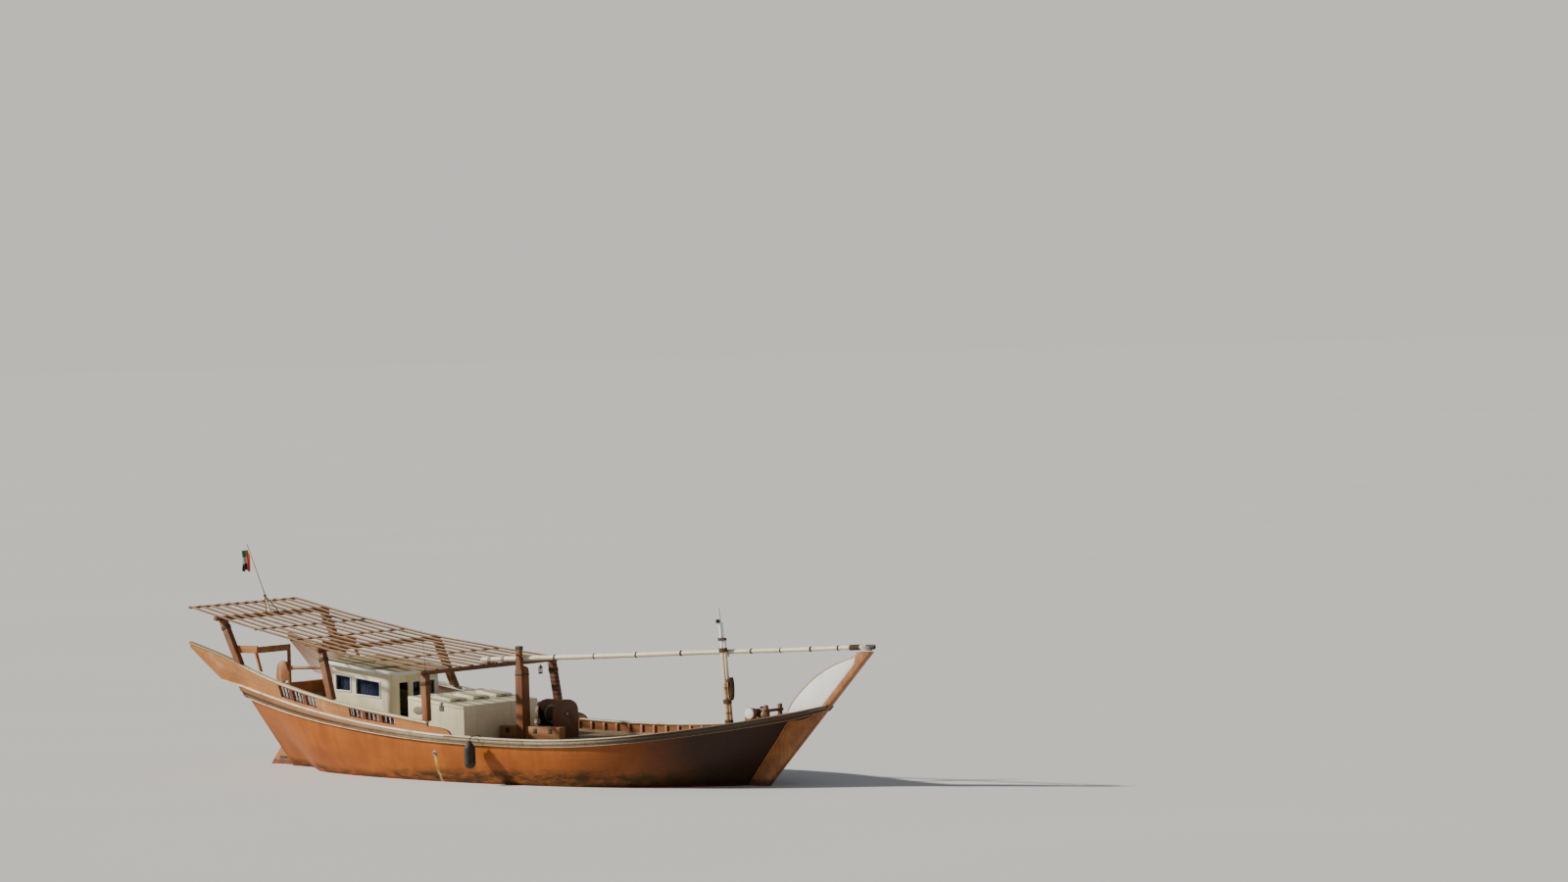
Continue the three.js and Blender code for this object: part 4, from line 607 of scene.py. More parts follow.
def house_roof_finish():
    """White edge, with a sun-baked khaki coating on top."""
    paint = Paint("house_roof_coating")
    cloud = paint.spots(1.5, detail=5, rough=0.62)
    up = paint.marked("upward").band(0.93, 0.985)
    khaki = paint.mix(cloud.band(0.3, 0.7), (0.2, 0.165, 0.08), (0.4, 0.34, 0.19))
    paint.base(up, (0.84, 0.86, 0.84), khaki)
    paint.blotch(0.35, (0.3, 0.26, 0.16), 0.56, 0.75, 5, (4, 4, 4), 4, stretch=(1, 1, 0.15))
    return paint.put(up * 0.3 + 0.4, paint.spots(50) * 0.5 + cloud, 0.002)


# Painted rings on the port fore post: lower edge, upper edge and colour
POST_RINGS = [(z, z + 0.075, (0.02, 0.014, 0.012)) for z in spread(2.36, 3.34, 7)]
# The finishes, under the record's slot that each belongs to
LOOKS = {
    "hull_paint": {
        "hull_paint": hull_finish(),
        "transom_boards": varnished_boards("transom_boards", (0.55, 0.23, 0.06), (0.34, 0.12, 0.03), 0.19),
        "quarter_boards": varnished_boards("quarter_boards", (0.58, 0.25, 0.07), (0.4, 0.15, 0.036), 0.2,
                                           False, WINDOW_SPANS),
        "bulwark_inside": painted_wood("bulwark_inside", (0.48, 0.2, 0.11), (0.3, 0.14, 0.06), "z", 0.6),
    },
    "pale_paint": {
        "pale_paint": trim_finish("rail_cream"),
        "quarter_rail": trim_finish("quarter_rail_cream", (0.72, 0.63, 0.45), (0.2, 0.12, 0.055), 0.8,
                                    (0.3, 0.22, 0.1)),
        "tiller_wood": timber_finish("tiller_wood", (0.56, 0.3, 0.11), (0.32, 0.14, 0.045),
                                     worn_to=(0.66, 0.45, 0.24)),
        "door_paint": painted_wood("door_cream", (0.72, 0.64, 0.46), (0.3, 0.17, 0.08), "z"),
    },
    "oiled_wood": {
        "oiled_wood": timber_finish("post_oil", (0.32, 0.115, 0.034), (0.085, 0.028, 0.01), "z",
                                    (0.58, 0.34, 0.15), stained=0.55),
        "banded_post": timber_finish("banded_post", (0.3, 0.085, 0.03), (0.11, 0.03, 0.012), "z",
                                     (0.5, 0.3, 0.15), bands=POST_RINGS),
        "backbone": backbone_finish(),
        "seat_boards": timber_finish("seat_boards", (0.56, 0.24, 0.08), (0.3, 0.1, 0.03),
                                     worn_to=(0.62, 0.38, 0.2), wear=0.4, board=0.17),
        "step_paint": painted_wood("mast_step_brown", (0.36, 0.155, 0.055), (0.46, 0.26, 0.12), "x", 0.7, 0.6,
                                   0.55),
        "winch_paint": painted_wood("winch_brown", (0.14, 0.055, 0.022), (0.5, 0.24, 0.085), "z", 0.9, 0.55),
        "float_paint": painted_wood("float_brown", (0.34, 0.16, 0.07), (0.5, 0.36, 0.2), "z", roughness=0.45),
    },
    "dark_wood": {
        "dark_wood": timber_finish("beam_oil", (0.26, 0.11, 0.045), (0.075, 0.028, 0.012), "y",
                                   (0.5, 0.32, 0.17), 0.6, 0.5),
        "brown_rope": rope_look("brown_rope", (0.2, 0.12, 0.06), (0.07, 0.04, 0.02)),
        "tarred_rope": rope_look("tarred_rope", (0.05, 0.032, 0.022), (0.014, 0.01, 0.008)),
        "pale_rope": rope_look("pale_rope", (0.72, 0.68, 0.58), (0.4, 0.34, 0.25)),
    },
    "cream_shell": {
        "cream_shell": shell_finish("cream_gelcoat", (0.88, 0.83, 0.6), (0.76, 0.68, 0.44), 0.3),
        "lid_shell": shell_finish("lid_gelcoat", (0.9, 0.85, 0.62), (0.78, 0.7, 0.45), 0.35, 0.42),
        "repair_patch": painted_wood("repair_patch", (0.32, 0.27, 0.2), (0.2, 0.16, 0.11), roughness=0.7),
    },
    "white_paint": {
        "white_paint": shell_finish("white_gloss", (0.9, 0.91, 0.92), (0.84, 0.85, 0.87), 0.04, 0.32),
        "house_roof": house_roof_finish(),
    },
    "galvanised_steel": {
        "galvanised_steel": metal_finish("galvanised", (0.42, 0.42, 0.4), (0.2, 0.09, 0.035), 0.55),
        "dark_iron": metal_finish("dark_iron", (0.07, 0.06, 0.055), (0.12, 0.05, 0.025), 0.7, 0.55, 0.6),
        "lamp_metal": metal_finish("lamp_olive", (0.2, 0.18, 0.05), (0.05, 0.05, 0.02), 0.6, 0.5, 0.3),
    },
    "spar_paint": {
        "spar_paint": painted_wood("spar_cream", (0.78, 0.72, 0.54), (0.36, 0.2, 0.09), "x", 0.6, 0.4),
        "mast_paint": mast_finish(((2.3, 0.05), (2.75, 0.04), (3.1, 0.05))),
    },
    "flag_cloth": {"flag_cloth": flag_look(), "curtain_cloth": curtain_finish()},
}
# Slots with one finish each
SINGLE_LOOKS = {
    "deck_planks": deck_finish(),
    "dark_red_wood": painted_wood("bottom_paint", (0.2, 0.045, 0.022), (0.14, 0.07, 0.035), "z", 0.6),
    "weathered_wood": wale_finish(),
    # The slats' upward faces get a painted highlight
    "roof_slats": timber_finish("slat_wood", (0.2, 0.085, 0.03), (0.06, 0.022, 0.009), "x", (0.5, 0.32, 0.17),
                                0.45, lit_top_colour=(0.62, 0.4, 0.2)),
    "window_glass": glass_finish(),
    "fender_rubber": rubber_finish(),
    "propeller_bronze": metal_finish("propeller_bronze", (0.56, 0.36, 0.12), (0.1, 0.17, 0.11), 0.5, 0.35),
}
FINISH = {name: (slot, made) for slot, looks in LOOKS.items() for name, made in looks.items()}
FINISH.update((slot, (slot, made)) for slot, made in SINGLE_LOOKS.items())


# Making pieces
MERGE = 1e-5
# Lays an upright axis across the boat
SIDEWAYS = Matrix.Rotation(math.pi / 2, 4, "X")


def piece(name, made_of, finish, body="boat", nodes=(), smooth=35):
    """A finished piece from one bmesh or several: painted, on its body and standing for its CAD nodes."""
    bm = gathered(made_of) if isinstance(made_of, list) else made_of
    upward = bm.faces.layers.float.new("upward")
    bm.normal_update()
    for face in bm.faces:
        face.smooth = True
        face[upward] = max(face.normal.z, 0.0)
    for edge in bm.edges:
        edge.smooth = len(edge.link_faces) == 2 and edge.calc_face_angle(0) < math.radians(smooth)
    mesh = bpy.data.meshes.new(name)
    bm.to_mesh(mesh)
    bm.free()
    made = bpy.data.objects.new(name, mesh)
    bpy.context.scene.collection.objects.link(made)
    usual_slot, material = FINISH[finish]
    mesh.materials.append(material)
    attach(made, body)
    if nodes:
        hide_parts(*nodes)
    return made


def gathered(parts):
    """Several closed shapes in one mesh."""
    whole = bmesh.new()
    whole.faces.layers.float.new("worn_edge")
    whole.loops.layers.uv.new("UVMap")
    for bm in parts:
        held = bpy.data.meshes.new("held")
        bm.to_mesh(held)
        bm.free()
        whole.from_mesh(held)
        bpy.data.meshes.remove(held)
    return whole


def merged(bm):
    """The mesh with its doubled corners joined and its faces turned outward."""
    bmesh.ops.remove_doubles(bm, verts=bm.verts, dist=MERGE)
    bmesh.ops.recalc_face_normals(bm, faces=bm.faces)
    return bm


def skin(across, along, where):
    """A grid of faces whose corners where(u, v) puts in place; u and v run from 0 to 1."""
    bm = bmesh.new()
    bm.loops.layers.uv.new("UVMap")
    bmesh.ops.create_grid(bm, x_segments=across, y_segments=along, size=1, calc_uvs=True)
    for vert in bm.verts:
        vert.co = Vector(where((vert.co.x + 1) / 2, (vert.co.y + 1) / 2))
    return bm


def through(rings):
    """A closed solid through rings of points, all with the same number of corners."""
    count, last = len(rings[0]), len(rings) - 1
    bm = skin(count, last, lambda u, v: rings[round(v * last)][round(u * count) % count])
    bmesh.ops.remove_doubles(bm, verts=bm.verts, dist=MERGE)
    bmesh.ops.holes_fill(bm, edges=[e for e in bm.edges if len(e.link_faces) == 1], sides=0)
    bmesh.ops.recalc_face_normals(bm, faces=bm.faces)
    return bm


def sweep(xs, section):
    """A closed solid through the sections at the given places; section(x) gives its corners (y, z)."""
    return through([[Vector((x, y, z)) for y, z in section(x)] for x in xs])


def oblong(left, right, low, high):
    """The corners of an upright oblong."""
    return [(left, low), (right, low), (right, high), (left, high)]


def moved(bm, place):
    bmesh.ops.transform(bm, matrix=place, verts=bm.verts)
    return bm


def mark_edges(bm, width=0.008, segments=2):
    """Rounds the sharp edges and marks the rounding as worn."""
    wear = bm.faces.layers.float.get("worn_edge") or bm.faces.layers.float.new("worn_edge")
    sharp = [e for e in bm.edges if len(e.link_faces) == 2 and e.calc_face_angle(0) > math.radians(25)]
    made = bmesh.ops.bevel(bm, geom=sharp, offset=width, offset_type="OFFSET", segments=segments, profile=0.5,
                           affect="EDGES", clamp_overlap=True, material=-1)
    for face in made["faces"]:
        face[wear] = 1.0
    return bm


def walled(bm, outward, thickness):
    """An open skin turned to face outward, with its thickness given on the inside and marked there."""
    inner = bm.faces.layers.float.new("inner_face")
    bm.normal_update()
    if sum(face.normal.dot(outward(face.calc_center_median())) for face in bm.faces) < 0:
        bmesh.ops.reverse_faces(bm, faces=bm.faces)
    bm.normal_update()
    outer = set(bm.faces)
    bmesh.ops.solidify(bm, geom=list(bm.faces), thickness=thickness)
    for face in bm.faces:
        if face not in outer:
            face[inner] = 1.0
    return bm


def divided(marks, step=0.3):
    """The marks, with more places between those that are far apart."""
    made = []
    for a, b in zip(marks, marks[1:]):
        count = max(1, math.ceil((b - a) / step - 1e-9))
        made += [a + (b - a) * i / count for i in range(count)]
    return made + [marks[-1]]


def smooth_path(points, steps):
    """The points with a smooth curve put through them."""
    return [row[0] for row in between([[Vector(p)] for p in points], steps)]


def tube(points, radii, sides=12):
    """A closed round bar along the points; its radius is one number or one for each point."""
    points = [Vector(point) for point in points]
    last = len(points) - 1
    radii = [radii] * (last + 1) if isinstance(radii, float) else radii
    ahead = [(points[min(k + 1, last)] - points[max(k - 1, 0)]).normalized() for k in range(last + 1)]
    side = ahead[0].orthogonal().normalized()
    rings = []
    for k, point in enumerate(points):
        side = (side - ahead[k] * side.dot(ahead[k])).normalized()
        up = ahead[k].cross(side)
        rings.append([point + (side * math.cos(a) + up * math.sin(a)) * radii[k]
                      for a in (math.tau * i / sides for i in range(sides))])
    return through(rings)


def pole(points, steps, thick, taper, sides):
    """A round pole on a smooth curve through the points, a little thinner at each step."""
    path = smooth_path(points, steps)
    return tube(path, [thick - taper * k for k in range(len(path))], sides)


def wound(start, axis, side, corners, thick, count):
    """Rope wound round a bar from its start, through the corners of one turn (along side, along up)."""
    up = axis.cross(side)
    each = len(corners)
    points = []
    for k in range(count * each + 1):
        along_side, along_up = corners[k % each]
        points.append(Vector(start) + axis * (2.04 * thick * k / each) + side * along_side + up * along_up)
    return tube(points, thick, 7)


def turns(start, axis, radius, thick, count):
    """Rope wound round a round bar; the radius is one number, or two where the bar is oval."""
    axis = Vector(axis).normalized()
    side = Vector((0, 1, 0)) if abs(axis.y) < 0.9 else Vector((1, 0, 0))
    wide, deep = radius if isinstance(radius, tuple) else (radius, radius)
    steps = 18
    corners = [(deep * math.sin(a), wide * math.cos(a)) for a in (math.tau * k / steps for k in range(steps))]
    return wound(start, axis, (side - axis * side.dot(axis)).normalized(), corners, thick, count)


def square_turns(start, axis, half, thick, count):
    """Rope wound round a square timber."""
    reach, short = half + thick, 0.86 * (half + thick)
    corners = [(reach, short), (short, reach), (-short, reach), (-reach, short),
               (-reach, -short), (-short, -reach), (short, -reach), (reach, -short)]
    side = Vector((0, 1, 0)) - axis * axis.y
    return wound(start, axis, side.normalized(), corners, thick, count)


def turned(profile, place, sides=32, about=None):
    """A round piece from a profile of (radius, height), set upright at a place or about another axis."""
    bm = bmesh.new()
    points = [bm.verts.new((radius, 0, height)) for radius, height in profile]
    edges = [bm.edges.new(pair) for pair in zip(points, points[1:])]
    bmesh.ops.spin(bm, geom=points + edges, cent=(0, 0, 0), axis=(0, 0, 1), angle=math.tau, steps=sides,
                   use_merge=True)
    return moved(merged(bm), Matrix.Translation(place) @ (about or Matrix.Identity(4)))


def block(low, high, width=0.006):
    """A block between two corners, with its edges rounded and marked as worn."""
    low, high = Vector(low), Vector(high)
    bm = bmesh.new()
    place = Matrix.Translation((low + high) / 2) @ Matrix.Diagonal((*(high - low), 1))
    bmesh.ops.create_cube(bm, size=1, matrix=place)
    bmesh.ops.recalc_face_normals(bm, faces=bm.faces)
    return mark_edges(bm, width)


def bolt(at, outward, radius=0.016):
    """A domed bolt head."""
    profile = [(wide * radius, high * radius) for wide, high in (
        (0, 0.55), (0.5, 0.46), (0.86, 0.2), (1, -0.1), (0, -0.1))]
    return turned(profile, at, 10, Vector(outward).to_track_quat("Z", "Y").to_matrix().to_4x4())


def frame_round(corners, outward):
    """A moulded frame round an opening, given by its corners."""
    outward = Vector(outward)
    middle = sum(corners, Vector()) / len(corners)
    section = ((-0.012, -0.012), (-0.012, 0.01), (0.0, 0.02), (0.03, 0.02), (0.045, 0.01), (0.045, -0.012))
    rings = []
    for k, corner in enumerate(corners):
        before, after = corners[k - 1], corners[(k + 1) % len(corners)]
        diagonal = (corner - before).normalized() + (corner - after).normalized()
        diagonal *= 1.0 if diagonal.dot(corner - middle) > 0 else -1.0
        rings.append([corner + diagonal * wide + outward * high for wide, high in section])
    count = len(section)
    return merged(skin(count, len(rings),
                       lambda u, v: rings[round(v * len(rings)) % len(rings)][round(u * count) % count]))


def dressed(node, finish=None, width=0.008, segments=2):
    """A CAD node's shape, merged, with rounded and worn edges, in place of the node."""
    bm = bmesh.new()
    bm.from_mesh(frame["nodes"][node].data)
    bmesh.ops.remove_doubles(bm, verts=bm.verts, dist=2e-4)
    bmesh.ops.dissolve_degenerate(bm, edges=bm.edges, dist=2e-4)
    bmesh.ops.dissolve_limit(bm, angle_limit=math.radians(1.5), verts=bm.verts, edges=bm.edges)
    slot = SLOT_OF[node]
    piece(node + "_worn", mark_edges(bm, width, segments), finish or slot, BODY_OF[node], [node])


# Camera, at the angle of the photograph
CAMERA_PLACE, CAMERA_TARGET = Vector((124.04054, -142.69232, 16.54141)), Vector((5.78607, 6.27827, 10.77017))
CAMERA_ROLL = math.radians(-1.516)
camera_data = bpy.data.cameras.new("camera")
camera_data.lens = 131.7614
camera_data.sensor_width = 36
camera_data.clip_end = 2000
camera = bpy.data.objects.new("camera", camera_data)
bpy.context.scene.collection.objects.link(camera)
aim = (CAMERA_TARGET - CAMERA_PLACE).to_track_quat("-Z", "Y").to_matrix().to_4x4()
camera.matrix_world = Matrix.Translation(CAMERA_PLACE) @ aim @ Matrix.Rotation(CAMERA_ROLL, 4, "Z")
bpy.context.scene.camera = camera


# Hull planking: one skin from rail to rail round the keel, then given its thickness
def hull_row(station):
    top, foot = top_of(station), station[3]
    heights = [foot + (top - foot) * (i / SECTION_STEPS) ** 1.35 for i in range(SECTION_STEPS + 1)]
    port = [at_station(station, half_at(station, z), z) for z in reversed(heights)]
    return port + [Vector((p.x, -p.y, p.z)) for p in reversed(port)]


hull_rows = between([hull_row(s) for s in STATIONS], 3)
hull_across, hull_along = 2 * SECTION_STEPS + 1, len(hull_rows) - 1
hull = skin(hull_across, hull_along, lambda u, v: hull_rows[round(v * hull_along)][round(u * hull_across)])
hull = walled(hull, lambda centre: Vector((0, centre.y, 0)), PLANK_THICK)
piece("hull_planking", hull, "hull_paint", nodes=["hull", "bulwark_starboard", "bulwark_port"], smooth=60)
for node in ("keel", "stem_post", "stern_post"):
    dressed(node, "backbone", 0.012)
dressed("transom", "transom_boards", 0.01)


def hull_half(x, z):
    """Half breadth of the planking at a place aft of the stem."""
    return curve(tuple((s[0] + s[1] * z, half_at(s, z)) for s in STATIONS[:23]), x)


# Wales, with a painted bead along the lower edge
def wale_ring(station, side, profile):
    """Corners of a wale at a station; it thins where it meets the stem."""
    top = top_of(station)
    thin = 0.3 if station[0] > STATIONS[-1][0] and station[1] > 0.5 else 1.0
    depth = straight(WALE_DEPTH, station[0] + station[1] * top) - CAP
    outer = [(top - depth * part, out * thin) for part, out in profile]
    inner = [(top - depth * profile[k][0], -0.03) for k in (-1, 0)]
    return [at_station(station, side * (half_at(station, z) + out), z) for z, out in outer + inner]


wale_ends = (STATIONS[0][0] - 0.19, *STATIONS[0][1:]), (STATIONS[-1][0] + 0.3, *STATIONS[-1][1:])
wale_stations = [wale_ends[0], *STATIONS, wale_ends[1]]
for name, side in SIDES.items():
    band = through(between([wale_ring(s, side, WALE_BAND) for s in wale_stations], 3))
    groove, uv = band.faces.layers.float.new("in_groove"), band.loops.layers.uv["UVMap"]
    for face in band.faces:
        around = sum(loop[uv].uv.x for loop in face.loops) / len(face.loops)
        face[groove] = 1.0 if GROOVE_AROUND[0] < around < GROOVE_AROUND[1] else 0.0
    piece(f"wale_band_{name}", band, "weathered_wood", nodes=[f"wale_{name}"], smooth=40)
    bead = through(between([wale_ring(s, side, WALE_BEAD) for s in wale_stations], 3))
    piece(f"wale_bead_{name}", bead, "pale_paint", smooth=40)


# Rails: a weathered board under a painted cap
def overhang(x):
    """The rail's overhang, which dies away against the stem."""
    return 1.0 - 0.8 * min(max((x - 11.6) / 0.73, 0.0), 1.0)


def rail_edges(x, wide):
    """The planking's half breadth and the rail's inner edge, which stops at the stem's side."""
    y = top_half(min(x, 12.0))
    return y, max(y - wide, STEM_SIDE)


rail_xs = divided((-0.9, 11.6, 12.33), 0.22)
for name, side in SIDES.items():
    def rail_board(x):
        (y, inner), z = rail_edges(x, 0.14), sheer(x)
        return [(side * w, h) for w, h in (
            (inner, z - CAP), (y + 0.1 * overhang(x), z - CAP), (y + 0.114 * overhang(x), z - 0.028),
            (inner, z - 0.028))]

    def rail_top(x):
        (y, inner), z = rail_edges(x, 0.16), sheer(x)
        edge = y + 0.132 * overhang(x)
        return [(side * w, h) for w, h in (
            (inner, z - 0.028), (edge - 0.01, z - 0.028), (edge, z - 0.02), (edge, z - 0.01),
            (edge - 0.01, z), (inner + 0.012, z), (inner, z - 0.01))]

    piece(f"rail_board_{name}", mark_edges(sweep(rail_xs, rail_board)), "weathered_wood")
    piece(f"rail_top_{name}", sweep(rail_xs, rail_top), "pale_paint", nodes=[f"rail_cap_{name}"])


# Quarter bulwarks, flared outward and pierced by small windows
def wing_foot(x):
    return 2.2 + (TOP_HALF[0][0] - x) * 0.06 if x < TOP_HALF[0][0] else top_half(x)


def wing_top(x):
    if x <= WING_FORE:
        return sheer(x) + curve(WING_RISE, x)
    return sheer(x) + 0.2 * math.sqrt(max(1 - ((x - WING_FORE) / (SCROLL_X - WING_FORE)) ** 4, 0.02))


def wing_y(x, z):
    up = (z - sheer(x) + CAP) / (curve(WING_RISE, min(x, WING_FORE)) + CAP)
    return wing_foot(x) + straight(WING_FLARE, x) * min(max(up, 0), 1.2)


def wing_levels(x):
    """Heights of the bulwark's lower edge, the windows' sill, middle and head, and its top."""
    low, top = sheer(max(x, WING_UNDER)) - CAP, wing_top(x)
    if x <= WING_UNDER:
        low += (WING_UNDER - x) / (WING_UNDER - WING_TIP) * (wing_top(WING_TIP) - 0.13 - low)
    sill = max(min(sheer(x) + 0.09, low + 0.6 * (top - low)), low + 0.25 * (top - low))
    head = max(top - 0.05, sill + 0.02)
    return [low, sill, (sill + head) / 2, head, top]


def panes(aft, fore):
    """The three openings of a window, parted by posts."""
    wide = (fore - aft - 2 * WINDOW_POST) / 3
    return [(start, start + wide) for start in (aft + i * (wide + WINDOW_POST) for i in range(3))]


def wing_strip(side, ends, low, high, near, far, width):
    """A long strip inside the bulwark, between two heights and two depths in from its face."""
    return mark_edges(sweep(divided(ends), lambda x: [
        (side * (wing_y(x, z) - inside), z)
        for z, inside in ((low(x), near), (high(x), near), (high(x), far), (low(x), far))]), width)


WINDOWS = [pane for span in WINDOW_SPANS for pane in panes(*span)]
wing_xs = divided([WING_TIP, WING_UNDER, *[x for span in WINDOWS for x in span], WING_FORE, WING_FORE + 0.01,
                   -1.3, -1.0, -0.85, -0.76, SCROLL_X])
cap_xs = [x for x in wing_xs if x <= WING_FORE]


def in_window(centre):
    levels = wing_levels(centre.x)
    return levels[1] < centre.z < levels[3] and any(aft < centre.x < fore for aft, fore in WINDOWS)


# Each bar's profile: part of its height and of its thickness
TURNING = ((0, 0.9), (0.05, 1.0), (0.1, 0.62), (0.16, 0.95), (0.3, 1.15), (0.45, 0.72), (0.5, 1.05),
           (0.55, 0.72), (0.7, 1.15), (0.84, 0.95), (0.9, 0.62), (0.95, 1.0), (1.0, 0.9))
BAR_THICK, BAR_INSIDE = 0.023, 0.097
shade_boards = []
for name, side in SIDES.items():
    def wall(u, v):
        x = wing_xs[round(u * (len(wing_xs) - 1))]
        z = wing_levels(x)[round(v * 4)]
        return x, side * wing_y(x, z), z

    boards = skin(len(wing_xs) - 1, 4, wall)
    openings = [face for face in boards.faces if in_window(face.calc_center_median())]
    bmesh.ops.delete(boards, geom=openings, context="FACES")
    boards = walled(boards, lambda centre: Vector((0, side, 0)), WALL)
    piece(f"quarter_boards_{name}", boards, "quarter_boards", nodes=[f"quarter_bulwark_{name}"])

    def cap(x):
        z = wing_top(x)
        middle = wing_y(x, z) - WALL / 2
        return [(side * (middle + w), z + h) for w, h in (
            (-0.085, 0), (0.085, 0), (0.097, 0.02), (0.097, 0.04), (0.08, 0.06), (-0.08, 0.06),
            (-0.09, 0.045), (-0.09, 0.012))]

    def moulding(x):
        y, z = wing_foot(x), sheer(x)
        arc = [(y + 0.062 + 0.056 * math.cos(a), z - 0.038 + 0.032 * math.sin(a))
               for a in spread(-math.pi / 2, math.pi / 2, 8)]
        return [(side * w, h) for w, h in [(y - 0.03, z - CAP), *arc, (y - 0.03, z - 0.006)]]

    piece(f"quarter_rail_{name}", sweep(cap_xs, cap), "quarter_rail", nodes=[f"quarter_cap_{name}"])
    piece(f"quarter_moulding_{name}", sweep(divided((WING_UNDER, -0.905), 0.22), moulding), "pale_paint")

    # Turned bars behind the openings, between two long rails
    bars = [wing_strip(side, (-8.97, -3.12), lambda x: line(x) + low, lambda x: line(x) + high, 0.077, 0.116,
                       0.005) for line, low, high in ((sheer, 0.03, 0.085), (wing_top, -0.055, -0.012))]
    for aft, fore in WINDOWS:
        for x in (aft + (fore - aft) * (k + 0.5) / 3 for k in range(3)):
            low, high = (Vector((x, side * (wing_y(x, z) - BAR_INSIDE), z))
                         for z in (sheer(x) + 0.05, wing_top(x) - 0.03))
            thick = [BAR_THICK * part for _, part in TURNING]
            bars.append(tube([low.lerp(high, part) for part, _ in TURNING], thick))
    piece(f"window_bars_{name}", bars, "white_paint", nodes=[f"balusters_{name}"])
    # Dark board behind the fore window's bars, standing in for the shade inside the bulwark: painted shade
    shade_boards.append(wing_strip(side, (-5.42, -3.08), lambda x: sheer(x) - 0.02, lambda x: wing_top(x) - 0.01,
                              0.2, 0.175, 0.004))
# Painted shade behind the windows, as dark boards
piece("window_shade_boards", shade_boards, "dark_wood")

# Frames inside the bulwarks and a waterway along the deck's edge
ribs, waterways = [], []
for side in SIDES.values():
    for x in spread(-10.2, 8.3, 34):
        rings = []
        for z in spread(sheer(x) - DECK_DOWN, sheer(x) - CAP, 3):
            y = hull_half(x, z) - PLANK_THICK
            rings.append([Vector((x + a, side * (y + b), z)) for a, b in (
                (-0.04, 0.03), (0.04, 0.03), (0.04, -0.06), (-0.04, -0.06))])
        ribs.append(mark_edges(through(rings), 0.006))

    def waterway(x):
        z = sheer(x) - DECK_DOWN
        y = hull_half(x, z) - PLANK_THICK
        return [(side * (y + w), z + h) for w, h in (
            (0.04, -0.02), (0.04, 0.075), (-0.035, 0.07), (-0.12, 0.02), (-0.12, -0.02))]

    waterways.append(sweep(divided((-10.35, 8.6)), waterway))
piece("bulwark_frames", ribs, "bulwark_inside")
piece("deck_waterways", waterways, "weathered_wood")

# White board between the stem and the bow, edged with a cream bead
dressed("stem_board", "white_paint", 0.006)
board_edge = ((13.44, 4.21), (13.01, 4.08), (12.6, 3.93), (12.19, 3.74), (11.8, 3.51), (11.4, 3.21),
              (11.05, 2.89), (10.8, 2.62), (10.66, 2.4))
piece("stem_board_bead", tube(smooth_path([(x, 0, z) for x, z in board_edge], 4), 0.046), "pale_paint")

# Batten over the seam between the planking's foot and the stem
battens = []
for side in SIDES.values():
    seam_line = [at_station(s, side * (GARBOARD_HALF + 0.006), s[3]) for s in STATIONS[16:]]
    seam_line.append(at_station(STATIONS[-1], side * (GARBOARD_HALF + 0.02), 2.5))
    battens.append(tube(smooth_path(seam_line, 5), 0.026, 10))
piece("stem_battens", battens, "backbone")


# Rudder, with iron straps on it and on its post, and the tiller
def strap(aft, fore, out, z, bolt_xs):
    """A strap on each side at a height, with its bolts."""
    made = []
    for side in SIDES.values():
        made.append(block((aft, side * out - 0.008, z - 0.04), (fore, side * out + 0.008, z + 0.04), 0.004))
        made += [bolt((x, side * (out + 0.008), z), (0, side, 0)) for x in bolt_xs]
    return made


dressed("rudder", "backbone", 0.012)
rudder_straps, post_straps = [], []
for z in (-1.25, 0.25, 2.25):
    hinge = HINGE_X + STERN_RAKE * z
    aft, fore = hinge + 0.08, hinge + (0.2 if z < 0 else 0.5)
    post_straps += strap(aft, fore, 0.128, z, (aft + 0.04, fore - 0.04))
    rudder_straps += strap(hinge - 0.62, hinge - 0.06, 0.076, z, (hinge - 0.54, hinge - 0.36, hinge - 0.18))
piece("rudder_straps", rudder_straps, "dark_iron", "rudder")
piece("stern_post_straps", post_straps, "dark_iron")
TILLER = ((-11.12, 0.061), (-10.9, 0.061), (-10.4, 0.053), (-9.9, 0.045), (-9.65, 0.043), (-9.6, 0.055),
          (-9.572, 0.03))
piece("tiller_bar", tube([(x, 0, 3.3 + 0.02 * (x + 11.1)) for x, _ in TILLER], [r for _, r in TILLER], 18),
      "tiller_wood", "rudder", ["tiller"])
piece("tiller_lashing", [turns((-10.98, 0, 3.3), (1, 0, 0), 0.062, 0.009, 6)], "brown_rope", "rudder")


# Sun-shade: slats over laths, three beams and six posts
def across_shade(i, x):
    """Middle of a slat at a place along the boat."""
    return (-1 + 2 * i / (SLATS - 1)) * (straight(ROOF_HALF, x) - SLAT_WIDE / 2)


slats = []
slat_xs = divided([x for x, _ in ROOF_LINE], 0.4)
for i in range(SLATS):
    lift, shift, drift = random.uniform(-0.006, 0.006), random.uniform(-0.03, 0.03), random.uniform(0, 6.28)
    half = SLAT_WIDE / 2 * random.uniform(0.86, 1.04)
    xs = [slat_xs[0] + abs(shift), *slat_xs[1:-1], slat_xs[-1] - random.uniform(0, 0.03)]

    def slat(x):
        y = across_shade(i, x) + 0.012 * math.sin(x * 0.9 + drift)
        z = curve(ROOF_LINE, x) + lift + 0.006 * math.sin(x * 1.7 + drift)
        return oblong(y - half, y + half, z - SLAT_THICK, z)

    slats.append(mark_edges(sweep(xs, slat), 0.006))


def lath(x):
    half, top = straight(ROOF_HALF, x), curve(ROOF_LINE, x) - SLAT_THICK
    return oblong(-half, half, top - 0.04, top + 0.01)


